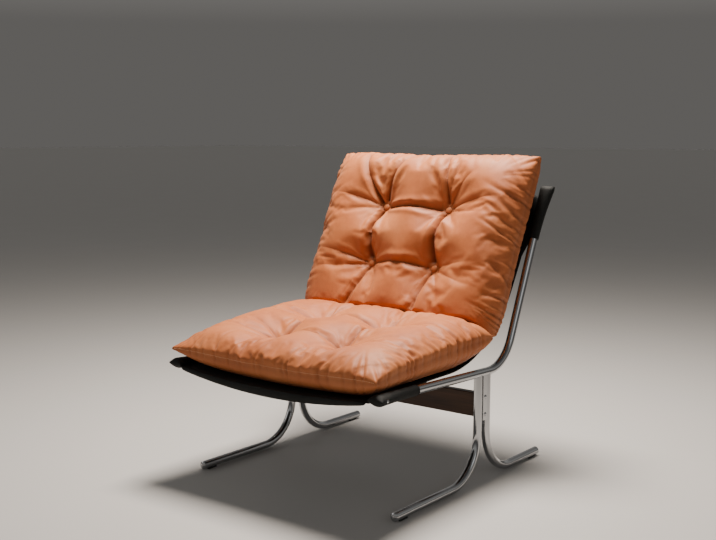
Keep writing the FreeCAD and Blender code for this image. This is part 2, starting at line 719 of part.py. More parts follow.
class Cushion:
    """One cushion. Its seam line runs from the free edge to the crease that it shares with the other one."""

    def __init__(self, name, seam_start, way, face, run, crease_share, edge_sag):
        self.name = name
        self.seam_start = seam_start
        self.way = way
        self.face = face
        self.run = run
        self.crease_share = crease_share
        self.edge_sag = edge_sag
        self.length = self.crease_end(0)
        self.rows = [(self.length + side * size("tuft_row_pitch")) / 2 for side in (-1, 1)]
        self.tuft_height = size(f"{name}_tuft_height")

    def crease_wall(self, inset):
        """A point of the flat face in the crease, on this cushion's side of it."""
        return crease_middle + crease_side * (self.crease_share * (size("crease_gap") / 2 + inset))

    def crease_end(self, inset):
        """How far along the seam line that face is."""
        return (self.crease_wall(inset) - self.seam_start).dot(crease_side) / self.way.dot(crease_side)

    def at(self, along, height):
        """A point so far along the seam line and so high above it."""
        return self.seam_start + self.way * along + self.face * height

    def along(self, point):
        """How far along the seam line a point is."""
        return (point - self.seam_start).dot(self.way)

    def section(self, x, inset):
        """The cushion cut at x, set in by the cover's thickness for the filling."""
        share = fullness(x)
        on_column = abs(abs(x) - column) < size("cover_thickness")
        crown = size(f"{self.name}_column_crown" if on_column else f"{self.name}_crown")
        dip = self.tuft_height if on_column else size(f"{self.name}_row_dip")
        line = SlingLine(x, size("cushion_clearance"))
        bend_end = line.start if self.name == "seat" else line.end
        heel = line.meet(self.crease_wall(0), crease_way)
        contact = heel + crease_way * size(f"{self.name}_contact")
        root = self.at(self.crease_end(inset), 0)
        hollow = 1 - min(1.0, abs(x) / half_width) ** 2
        draw = size("edge_draw") * hollow
        sag = self.edge_sag * hollow
        round_end = draw + size("edge_round")
        toe = bend_end + self.run * ((round_end - self.along(bend_end)) / self.run.dot(self.way))
        toe_depth = (self.seam_start - toe).dot(self.face)
        rounding = self.at(round_end - QUARTER * size("edge_round"), -QUARTER * toe_depth)

        def high(along, height):
            """A point of the puffed side."""
            return self.at(along, height * share - inset)

        def low(point):
            """A point of the side that lies on the sling."""
            depth = (self.seam_start - point).dot(self.face)
            return self.at(self.along(point), inset - depth * share)

        def mating(point, lift):
            """A point of the crease face."""
            on_wall = point + crease_side * (self.crease_share * inset)
            return root + (on_wall - root) * share + crease_way * lift

        first, second = self.rows
        half_flat = size("tuft_flat") / 2
        edge_crown = crown - size(f"{self.name}_edge_fall")
        crown_start = draw + size("crown_round")
        shoulder_height = QUARTER * edge_crown - (1 - QUARTER) * sag
        edge_shoulder = high(crown_start - QUARTER * size("crown_round"), shoulder_height)
        edge_swell = (edge_crown + dip) / 2 + size("crown_swell")
        return closed_wire(x, [
            (self.at(draw + inset, -sag), low(rounding)),
            (low(toe), None),
            (low(bend_end), low(line.on_bend(bend_end, heel))),
            (mating(heel, inset), None),
            (mating(contact, -inset), high((self.along(contact) + second + half_flat) / 2, crown)),
            (high(second + half_flat, dip), None),
            (high(second - half_flat, dip), high(self.length / 2, crown)),
            (high(first + half_flat, dip), None),
            (high(first - half_flat, dip), high((first - half_flat + crown_start) / 2, edge_swell)),
            (high(crown_start, edge_crown), edge_shoulder),
        ])

    def form(self, inset):
        """The whole cushion, with its sides drawn in between the corners."""
        rounding = [shoulder + size("shoulder_width") * math.sin(math.pi / 8 * step) for step in (1, 2, 3)]
        outwards = [column, 2 * column] + rounding + [half_width - inset]
        stations = [-x for x in reversed(outwards)] + [0] + outwards
        shape = Part.makeLoft([self.section(x, inset) for x in stations], True)
        draw = size("side_draw")
        radius = (self.length ** 2 / 4 + draw ** 2) / (2 * draw)
        high = size("cushion_width")
        for _, side in SIDES:
            out = half_width - draw - inset + radius
            middle = self.at(self.length / 2, -high / 2) + X_AXIS * (side * out)
            shape = shape.cut(Part.makeCylinder(radius, high, middle, self.face))
        return shape

    def tufts(self):
        """The four button seats."""
        return [
            self.at(row, self.tuft_height) + X_AXIS * (side * column)
            for row in self.rows
            for side in (-1, 1)
        ]

    def build(self):
        """Make the cover, the filling, the buttons, the tufting cords and their anchors."""
        outside = self.form(0)
        inside = self.form(size("cover_thickness"))
        cord_length = size(f"{self.name}_cord_length")
        stem = size("button_stem")
        down = -self.face
        gap = size("fit_gap")
        buttons, cords, anchors, passages, seats = [], [], [], [], []
        for count, tuft in enumerate(self.tufts(), start=1):
            buttons.append(turned(
                f"{self.name}_button_{count}", facing(tuft, self.face), "sizes.button_stem_diameter / 2",
                "sizes.button_stem", "sizes.button_diameter / 2", "sizes.button_height",
            ))
            cords.append(cylinder(
                f"{self.name}_cord_{count}", "sizes.cord_diameter / 2",
                f"sizes.{self.name}_cord_length - sizes.button_stem", tuft + down * stem, down,
            ))
            anchors.append(cylinder(
                f"{self.name}_anchor_{count}", "sizes.anchor_diameter / 2", "sizes.anchor_thickness",
                tuft + down * cord_length, down,
            ))
            passages += [
                Part.makeCylinder(size("button_stem_diameter") / 2 + gap, stem, tuft, down),
                Part.makeCylinder(size("cord_diameter") / 2 + gap, cord_length, tuft, down),
                Part.makeCylinder(
                    size("anchor_diameter") / 2 + gap, size("anchor_thickness"),
                    tuft + down * cord_length, down,
                ),
            ]
            seats.append(Part.makeCylinder(
                size("button_diameter") / 2 + gap, size("button_height"), tuft, self.face
            ))
        feature(f"{self.name}_cushion_cover", outside.cut(inside).cut(passages + seats))
        feature(f"{self.name}_cushion_filling", inside.cut(passages))
        group(f"{self.name}_buttons", buttons)
        group(f"{self.name}_tuft_cords", cords)
        group(f"{self.name}_tuft_anchors", anchors)


seat_start = Vector(0, -size("seat_front"), size("seat_seam_height"))
tilt = size("seat_tilt")
Cushion(
    "seat", seat_start, direction(tilt), direction(90 + tilt), Y_AXIS, -1, size("seat_edge_sag")
).build()
back_start = rail_corner + back_way * size("back_cushion_top") + back_face * size("back_seam_offset")
Cushion("back", back_start, -back_way, back_face, sling_way, 1, 0).build()


# Check every object, then write each sub-part

doc.recompute()
failed = [thing.Name for thing in doc.Objects if {"Invalid", "Error"} & set(thing.State)]
failed += [thing.Label for thing in nodes if thing.Shape.isNull() or not thing.Shape.isValid()]
if failed:
    raise RuntimeError(f"not built: {failed}")
os.makedirs("parts", exist_ok=True)
for thing in nodes:
    thing.Shape.exportStep(f"parts/{thing.Label}.step")
    print(thing.Label, len(thing.Shape.Solids), round(thing.Shape.Volume))
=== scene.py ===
"""Looks of a lounge chair: a bent chrome tube frame, a black sling and two tufted leather cushions.

Metres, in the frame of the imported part: +Z is up, the chair faces -Y and the floor is z = 0.
"""
import logging
import math
from dataclasses import dataclass, field
from enum import Enum
from typing import Any, Sequence

import bmesh
import bpy
import numpy as np
from mathutils import Matrix, Vector


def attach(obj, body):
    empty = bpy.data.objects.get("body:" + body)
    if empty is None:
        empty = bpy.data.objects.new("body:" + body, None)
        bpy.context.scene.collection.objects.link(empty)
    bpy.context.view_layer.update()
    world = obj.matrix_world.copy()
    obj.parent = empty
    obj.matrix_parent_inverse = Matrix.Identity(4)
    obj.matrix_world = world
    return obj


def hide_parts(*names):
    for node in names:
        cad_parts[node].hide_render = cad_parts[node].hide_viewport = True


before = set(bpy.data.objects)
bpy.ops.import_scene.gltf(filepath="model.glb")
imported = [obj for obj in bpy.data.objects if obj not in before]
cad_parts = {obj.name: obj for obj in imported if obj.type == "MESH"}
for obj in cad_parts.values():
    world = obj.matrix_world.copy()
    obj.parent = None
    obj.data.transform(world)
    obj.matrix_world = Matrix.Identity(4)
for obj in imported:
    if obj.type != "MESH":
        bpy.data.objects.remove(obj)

LOG = logging.getLogger("lounge_chair")
MM = 0.001
X_AXIS = Vector((1, 0, 0))
Y_AXIS = Vector((0, 1, 0))
Z_AXIS = Vector((0, 0, 1))
SIDES = (("right", 1), ("left", -1))
HOLLOW_SCALE = 27 / 4  # brings the highest value of s * (1 - s) ** 2 to 1
FRAME_BODY = "frame"
Colour = tuple[float, float, float, float]


# Shader writing


class Field:
    """A value socket whose arithmetic adds Math nodes."""

    def __init__(self, sheet: "NodeSheet", socket: bpy.types.NodeSocket) -> None:
        """Keep the socket and the sheet that it belongs to."""
        self.sheet = sheet
        self.socket = socket

    def math(self, operation: str, other: Any, clamp: bool = False) -> "Field":
        """Add one Math node, with a Field or a number as its second value."""
        settings = {"operation": operation, "use_clamp": clamp}
        return self.sheet.field("ShaderNodeMath", "Value", settings, {0: self, 1: other})

    def __add__(self, other: Any) -> "Field":
        """Sum."""
        return self.math("ADD", other)

    __radd__ = __add__

    def __sub__(self, other: Any) -> "Field":
        """Difference."""
        return self.math("SUBTRACT", other)

    def __mul__(self, other: Any) -> "Field":
        """Product."""
        return self.math("MULTIPLY", other)

    def __pow__(self, other: Any) -> "Field":
        """Power."""
        return self.math("POWER", other)

    def clamped(self) -> "Field":
        """The value kept from 0 to 1."""
        return self.math("ADD", 0.0, clamp=True)


class NodeSheet:
    """The nodes of one shader tree."""

    def __init__(self, tree: bpy.types.NodeTree) -> None:
        """Empty the tree and start with its coordinates."""
        self.tree = tree
        self.tree.nodes.clear()
        self.place = self.node("ShaderNodeTexCoord")

    def node(self, kind: str, settings: dict[str, Any] | None = None,
             inputs: dict[Any, Any] | None = None) -> bpy.types.Node:
        """Add one node.

        Args:
            kind: the node's type.
            settings: its properties; stops are those of a ramp, as (place, colour) pairs.
            inputs: values, or Fields to link, by socket name or number.

        Returns:
            The new node.
        """
        made = self.tree.nodes.new(kind)
        for key, setting in (settings or {}).items():
            if key == "stops":
                self.set_stops(made.color_ramp, setting)
            else:
                setattr(made, key, setting)
        for key, given in (inputs or {}).items():
            self.feed(made.inputs[key], given)
        return made

    def feed(self, socket: bpy.types.NodeSocket, given: Any) -> None:
        """Link a Field to a socket, or set the socket's own value."""
        if isinstance(given, Field):
            self.tree.links.new(given.socket, socket)
        else:
            socket.default_value = given

    @staticmethod
    def set_stops(ramp: bpy.types.ColorRamp, stops: Sequence[tuple[float, Colour]]) -> None:
        """Give a ramp its stops."""
        while len(ramp.elements) < len(stops):
            ramp.elements.new(1.0)
        for element, (position, colour) in zip(ramp.elements, stops):
            element.position = position
            element.color = colour

    def field(self, kind: str, output: str, settings: dict[str, Any] | None = None,
              inputs: dict[Any, Any] | None = None) -> Field:
        """Add one node and take one of its outputs."""
        return Field(self, self.node(kind, settings, inputs).outputs[output])

    def where(self, source: str = "Object", scale: tuple[float, float, float] = (1, 1, 1)) -> Field:
        """Coordinates of the piece, Object or UV, scaled in each direction."""
        inputs = {"Vector": Field(self, self.place.outputs[source]), "Scale": scale}
        return self.field("ShaderNodeMapping", "Vector", None, inputs)

    def noise(self, vector: Field, scale: float, detail: float = 3.0, roughness: float = 0.55) -> Field:
        """A noise from about 0 to 1."""
        inputs = {"Vector": vector, "Scale": scale, "Detail": detail, "Roughness": roughness}
        return self.field("ShaderNodeTexNoise", "Fac", None, inputs)

    def attribute(self, name: str) -> Field:
        """A value that the mesh itself carries."""
        return self.field("ShaderNodeAttribute", "Fac", {"attribute_name": name})

    def ramp(self, amount: Field, *stops: tuple[float, Colour]) -> Field:
        """A colour for each amount."""
        return self.field("ShaderNodeValToRGB", "Color", {"stops": stops}, {"Fac": amount})

    def blend(self, amount: Field, first: Any, second: Any) -> Field:
        """One colour turning into another."""
        inputs = {0: amount, 6: first, 7: second}
        made = self.node("ShaderNodeMix", {"data_type": "RGBA"}, inputs)
        return Field(self, made.outputs[2])

    def bump(self, height: Field, strength: float, distance: float) -> Field:
        """A normal from a height in units of distance."""
        inputs = {"Height": height, "Strength": strength, "Distance": distance}
        return self.field("ShaderNodeBump", "Normal", None, inputs)


class MaterialSheet(NodeSheet):
    """The nodes of one material with a Principled shader."""

    def __init__(self, name: str) -> None:
        """Start the material."""
        self.material = bpy.data.materials.new(name)
        self.material.use_nodes = True
        super().__init__(self.material.node_tree)
        self.shader = self.node("ShaderNodeBsdfPrincipled")
        self.node("ShaderNodeOutputMaterial", inputs={"Surface": Field(self, self.shader.outputs[0])})

    def finish(self, **inputs: Any) -> bpy.types.Material:
        """Feed the shader's sockets, named with underscores for spaces."""
        for key, given in inputs.items():
            self.feed(self.shader.inputs[key.replace("_", " ")], given)
        return self.material


# Finishes


@dataclass(frozen=True)
class MirrorChrome:
    """Polished plating with faint hairlines and a little bloom."""

    colour: Colour = (0.43, 0.435, 0.445, 1)
    gloss: float = 0.045
    bloom: float = 0.05

    def material(self) -> bpy.types.Material:
        """Make the material."""
        sheet = MaterialSheet("mirror_chrome")
        cloud = sheet.noise(sheet.where(), 38.0)
        hairlines = sheet.noise(sheet.where(scale=(900, 60, 60)), 1.0, detail=1.0)
        rough = self.gloss + cloud * self.bloom + (hairlines ** 6) * self.bloom
        return sheet.finish(Base_Color=self.colour, Metallic=1.0, Roughness=rough)


@dataclass(frozen=True)
class StainedBoard:
    """Dark stained wood with its grain along the board."""

    dark: Colour = (0.026, 0.011, 0.005, 1)
    light: Colour = (0.115, 0.049, 0.020, 1)

    def material(self) -> bpy.types.Material:
        """Make the material."""
        sheet = MaterialSheet("stained_board")
        waver = sheet.noise(sheet.where(scale=(2, 30, 30)), 2.0, detail=5.0)
        fibre = sheet.noise(sheet.where(scale=(12, 900, 900)), 1.0, detail=3.0)
        grain = (waver * 0.65 + fibre * 0.5 - 0.1).clamped()
        colour = sheet.ramp(grain, (0.25, self.dark), (0.75, self.light))
        normal = sheet.bump(fibre, 0.35, 0.0004)
        return sheet.finish(Base_Color=colour, Roughness=0.34 + fibre * 0.16, Normal=normal)


@dataclass(frozen=True)
class SlingCanvas:
    """Heavy black plain weave with a slight green cast; the piece's UV map is in metres."""

    warp: Colour = (0.0050, 0.0056, 0.0052, 1)
    lint: Colour = (0.0135, 0.0140, 0.0128, 1)
    thread: float = 0.0011

    def material(self) -> bpy.types.Material:
        """Make the material."""
        sheet = MaterialSheet("sling_canvas")
        count = 1.0 / self.thread
        waves = []
        for direction in ("X", "Y"):
            settings = {"wave_type": "BANDS", "bands_direction": direction, "wave_profile": "SIN"}
            inputs = {"Vector": sheet.where("UV"), "Scale": count / math.tau, "Distortion": 0.0}
            waves.append(sheet.field("ShaderNodeTexWave", "Fac", settings, inputs))
        settings = {"offset": 0.5, "squash": 1.0}
        inputs = {
            "Vector": sheet.where("UV"), "Scale": count, "Mortar Size": 0.0, "Brick Width": 2.0,
            "Row Height": 1.0, "Color1": (0, 0, 0, 1), "Color2": (1, 1, 1, 1), "Bias": 0.0,
        }
        over = sheet.field("ShaderNodeTexBrick", "Fac", settings, inputs)
        weave = waves[0] * waves[1] + over * 0.25
        fluff = sheet.noise(sheet.where(), 60.0, detail=5.0)
        wear = sheet.noise(sheet.where(), 7.0, detail=4.0)
        colour = sheet.ramp(fluff * 0.7 + weave * 0.3, (0.3, self.warp), (0.85, self.lint))
        rough = 0.62 + wear * 0.2
        normal = sheet.bump(weave + fluff * 0.4, 0.55, 0.0004)
        return sheet.finish(Base_Color=colour, Roughness=rough, Normal=normal, Specular_IOR_Level=0.25)


@dataclass(frozen=True)
class TanLeather:
    """Soft tan hide: fine grain, a cloudy dye with lighter rubbed patches, and painted shade in the folds,
    the button funnels and the seam groove.
    """

    hide: Colour = (0.45, 0.128, 0.034, 1)
    deep: Colour = (0.345, 0.086, 0.022, 1)
    rubbed: Colour = (0.52, 0.178, 0.058, 1)
    # painted shade: the near-black brown that the folds, the button funnels and the seam groove turn towards
    fold: Colour = (0.14, 0.033, 0.009, 1)
    grain: float = 0.0016

    def material(self) -> bpy.types.Material:
        """Make the material."""
        sheet = MaterialSheet("tan_leather")
        place = sheet.where()
        cloud = sheet.noise(place, 5.5, detail=4.0)
        mottle = sheet.noise(place, 46.0, detail=5.0, roughness=0.65)
        dye = (cloud * 0.75 + mottle * 0.35 - 0.05).clamped()
        colour = sheet.ramp(dye, (0.28, self.deep), (0.5, self.hide), (0.78, self.rubbed))
        # painted shade: an attribute of the mesh darkens the hide towards the fold colour in the folds, the
        # button funnels and the seam groove
        valley = sheet.attribute("painted_crease_shade")
        colour = sheet.blend((valley * 0.8).clamped(), colour, self.fold)
        settings = {"feature": "DISTANCE_TO_EDGE"}
        inputs = {"Vector": place, "Scale": 1.0 / self.grain, "Randomness": 1.0}
        pebble = sheet.field("ShaderNodeTexVoronoi", "Distance", settings, inputs)
        pores = sheet.noise(place, 2400.0, detail=2.0)
        creasing = sheet.noise(place, 130.0, detail=4.0)
        height = pebble.math("MINIMUM", 0.35) + pores * 0.12 + creasing * 0.35
        rough = 0.52 + mottle * 0.12 + valley * 0.1
        normal = sheet.bump(height, 0.28, 0.0006)
        return sheet.finish(
            Base_Color=colour, Roughness=rough, Normal=normal, Specular_IOR_Level=0.34,
            Sheen_Weight=0.06, Sheen_Roughness=0.45, Sheen_Tint=(1.0, 0.86, 0.72, 1),
        )


@dataclass(frozen=True)
class SewingThread:
    """Twisted thread."""

    name: str
    colour: Colour
    shade: Colour

    def material(self) -> bpy.types.Material:
        """Make the material."""
        sheet = MaterialSheet(self.name)
        twist = sheet.noise(sheet.where(), 1500.0, detail=2.0)
        colour = sheet.ramp(twist, (0.3, self.shade), (0.7, self.colour))
        normal = sheet.bump(twist, 0.4, 0.0002)
        return sheet.finish(Base_Color=colour, Roughness=0.6 + twist * 0.2, Normal=normal)


@dataclass(frozen=True)
class MouldedBlack:
    """Black moulded plastic with a fine spark texture."""

    colour: Colour = (0.012, 0.012, 0.012, 1)

    def material(self) -> bpy.types.Material:
        """Make the material."""
        sheet = MaterialSheet("moulded_black")
        spark = sheet.noise(sheet.where(), 1400.0, detail=2.0)
        normal = sheet.bump(spark, 0.3, 0.0002)
        return sheet.finish(Base_Color=self.colour, Roughness=0.45 + spark * 0.15, Normal=normal)


@dataclass(frozen=True)
class TurnedSteel:
    """Plain turned steel of the hidden nuts."""

    colour: Colour = (0.52, 0.51, 0.49, 1)

    def material(self) -> bpy.types.Material:
        """Make the material."""
        sheet = MaterialSheet("turned_steel")
        rings = sheet.noise(sheet.where(scale=(200, 3000, 200)), 1.0, detail=1.0)
        return sheet.finish(Base_Color=self.colour, Metallic=1.0, Roughness=0.28 + rings * 0.2)


class Finishes:
    """Every material of the chair, made once."""

    def __init__(self) -> None:
        """Make them."""
        self.chrome = MirrorChrome().material()
        self.board = StainedBoard().material()
        self.canvas = SlingCanvas().material()
        self.leather = TanLeather().material()
        pale, tan = (0.82, 0.56, 0.34, 1), (0.6, 0.34, 0.17, 1)
        grey, black = (0.03, 0.03, 0.03, 1), (0.01, 0.01, 0.01, 1)
        self.pale_thread = SewingThread("pale_thread", pale, tan).material()
        self.black_thread = SewingThread("black_thread", grey, black).material()
        self.plastic = MouldedBlack().material()
        self.steel = TurnedSteel().material()


# Shared mesh work


def side_view(degrees: float) -> Vector:
    """Unit vector in the side view, so many degrees above +Y."""
    turn = math.radians(degrees)
    return Vector((0, math.cos(turn), math.sin(turn)))


def spread(half: float, steps: int) -> list[float]:
    """Even places from -half to half."""
    return [half * (step / steps * 2 - 1) for step in range(steps + 1)]


def piece(name: str, bm: bmesh.types.BMesh, material: bpy.types.Material,
          smooth: bool = True) -> bpy.types.Object:
    """Turn a bmesh into an object of the scene.

    Args:
        name: the object's name.
        bm: the mesh, which is freed.
        material: its finish.
        smooth: whether faces are shaded smooth.

    Returns:
        The new object, at the origin.
    """
    mesh = bpy.data.meshes.new(name)
    for face in bm.faces:
        face.smooth = smooth
    bm.to_mesh(mesh)
    bm.free()
    mesh.materials.append(material)
    made = bpy.data.objects.new(name, mesh)
    bpy.context.scene.collection.objects.link(made)
    return made


def settle(made: bpy.types.Object, body: str, slot: str, *nodes: str) -> None:
    """Ride a piece on a body, hide the CAD nodes that it stands for, and report it."""
    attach(made, body)
    if nodes:
        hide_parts(*nodes)
    LOG.info("%s: %d faces on %s", made.name, len(made.data.polygons), body)


def subdivided(made: bpy.types.Object, levels: int) -> None:
    """Give a piece a live subdivision surface."""
    modifier = made.modifiers.new("rounding", "SUBSURF")
    modifier.levels = levels
    modifier.render_levels = levels


def coordinates(mesh: bpy.types.Mesh) -> np.ndarray:
    """The vertices of a mesh as rows."""
    flat = np.empty(len(mesh.vertices) * 3)
    mesh.vertices.foreach_get("co", flat)
    return flat.reshape(-1, 3)


def normals(mesh: bpy.types.Mesh) -> np.ndarray:
    """The vertex normals of a mesh as rows."""
    flat = np.empty(len(mesh.vertices) * 3, dtype=np.float32)
    mesh.vertex_normals.foreach_get("vector", flat)
    return flat.reshape(-1, 3).astype(float)


def move(mesh: bpy.types.Mesh, points: np.ndarray) -> None:
    """Put the vertices of a mesh at points."""
    mesh.vertices.foreach_set("co", points.ravel())
    mesh.update()


@dataclass
class StitchRow:
    """A row of stitches along a line, each a small capsule."""

    length: float = 3.9 * MM
    pitch: float = 5.2 * MM
    radius: float = 0.6 * MM

    def sew(self, bm: bmesh.types.BMesh, line: Sequence[Vector], away: Sequence[Vector]) -> None:
        """Sew along a line.

        Args:
            bm: the mesh that takes the stitches.
            line: points along the row.
            away: the outward direction at each point.
        """
        run = 0.0
        due = self.pitch / 2
        for start, end, out in zip(line, line[1:], away):
            step = (end - start).length
            while due <= run + step and step > 0:
                middle = start.lerp(end, (due - run) / step)
                along = (end - start).normalized()
                across = along.cross(out).normalized()
                turn = Matrix((along, across, along.cross(across))).transposed().to_4x4()
                scale = Matrix.Diagonal((self.length / 2, self.radius, self.radius, 1))
                place = Matrix.Translation(middle) @ turn @ scale
                bmesh.ops.create_uvsphere(bm, u_segments=6, v_segments=4, radius=1.0, matrix=place)
                due += self.pitch
            run += step


# Sling


@dataclass(frozen=True)
class TubeLines:
    """Lines of the bent rails in the side view."""

    rail_x: float = 320 * MM
    tube_radius: float = 11 * MM
    post_top: Vector = field(default_factory=lambda: Vector((0, 70, 290)) * MM)
    seat_way: Vector = field(default_factory=lambda: side_view(-2.2))
    back_way: Vector = field(default_factory=lambda: side_view(66.1))
    back_face: Vector = field(default_factory=lambda: side_view(156.1))
    corner_set_back: float = 110 * MM
    seat_run: float = 570 * MM
    back_run: float = 505 * MM

    @property
    def corner(self) -> Vector:
        """Where the seat and back lines meet."""
        return self.post_top + self.seat_way * (self.corner_set_back / self.seat_way.y)

    @property
    def front(self) -> Vector:
        """Front end of a rail's axis."""
        return self.corner - self.seat_way * self.seat_run

    @property
    def top(self) -> Vector:
        """Top end of a rail's axis."""
        return self.corner + self.back_way * self.back_run


TUBES = TubeLines()


@dataclass(frozen=True)
class SlingForm:
    """Sizes of the sling."""

    thickness: float = 3 * MM
    front: float = 400 * MM
    height: float = 304 * MM
    lean: float = 28.0
    bend: float = 320 * MM
    sag: float = 16 * MM
    back_sag: float = 8 * MM
    edge_gap: float = 23 * MM
    edge_hollow: float = 13 * MM
    pocket_overlap: float = 14 * MM
    overlap_ease: float = 14.0
    top: float = 132 * MM
    front_pocket: float = 172 * MM
    top_pocket: float = 155 * MM
    pocket_wall: float = 3 * MM
    pocket_flare: float = 15 * MM
    pocket_lip: float = 2.75 * MM
    overhang: float = 12 * MM
    hem_tuck: float = 12 * MM
    hem_depth: float = 9 * MM
    hem_hang: float = 12 * MM
    hem_rise: float = 1.0 * MM
    hem_offset: float = 1.2 * MM
    hem_half: float = 3.6 * MM
    top_hem_half: float = 13 * MM
    top_hem_set_in: float = 11 * MM

    @property
    def half_span(self) -> float:
        """Inner side of a rail."""
        return TUBES.rail_x - TUBES.tube_radius

    @property
    def widest(self) -> float:
        """Half the panel's width at the pockets."""
        return TUBES.rail_x - self.edge_gap + self.pocket_overlap

    @property
    def way(self) -> Vector:
        """Up along the panel's back."""
        return side_view(90 - self.lean)

    @property
    def face(self) -> Vector:
        """Forwards from the panel's back."""
        return side_view(180 - self.lean)

    @property
    def pocket_foot(self) -> Vector:
        """Lower end of a top pocket, on the rail's axis."""
        return TUBES.top + TUBES.back_way * (self.overhang - self.top_pocket)


SLING = SlingForm()


class SlingLine:
    """Side view of the sling at x, so far above its upper face."""

    def __init__(self, x: float, above: float) -> None:
        """Work out the seat run, the bend and the back run."""
        drop = 1 - min(1.0, abs(x) / SLING.half_span) ** 2
        self.level = SLING.height - SLING.sag * drop + above
        self.hung = SLING.pocket_foot + SLING.face * (above - SLING.back_sag * drop)
        corner = self.hung - SLING.way * ((self.hung.z - self.level) / SLING.way.z)
        self.radius = SLING.bend - above
        self.turn = math.radians(90 - SLING.lean)
        reach = self.radius * math.tan(self.turn / 2)
        self.start = corner - Y_AXIS * reach
        self.end = corner + SLING.way * reach
        self.centre = self.start + Z_AXIS * self.radius
        self.seat_length = self.start.y + SLING.front
        self.bend_length = self.radius * self.turn

    @property
    def length(self) -> float:
        """From the front edge to the top edge."""
        return self.seat_length + self.bend_length + (self.hung - self.end).length + SLING.top

    def at(self, run: float) -> tuple[Vector, Vector]:
        """A point and the outward direction, so far from the front edge."""
        if run <= self.seat_length:
            return Vector((0, run - SLING.front, self.level)), Z_AXIS.copy()
        if run <= self.seat_length + self.bend_length:
            angle = (run - self.seat_length) / self.radius
            out = Vector((0, math.sin(angle), -math.cos(angle)))
            return self.centre + out * self.radius, -out
        return self.end + SLING.way * (run - self.seat_length - self.bend_length), SLING.face.copy()

    def depth(self, place: Vector, face: Vector) -> float:
        """How far below a place the sling is, along -face."""
        if face.z > 0.7:
            drop = (place.z - self.level) / face.z
            if place.y - face.y * drop <= self.start.y:
                return drop
        else:
            drop = (place - self.hung).dot(SLING.face) / face.dot(SLING.face)
            if (place - face * drop - self.end).dot(SLING.way) >= 0:
                return drop
        offset = place - self.centre
        offset.x = 0.0
        middle = offset.dot(face)
        return middle + math.sqrt(max(0.0, self.radius ** 2 - offset.dot(offset) + middle ** 2))


class PocketEnd(Enum):
    """The two rail ends that a pocket slips over."""

    FRONT = "front"
    TOP = "top"


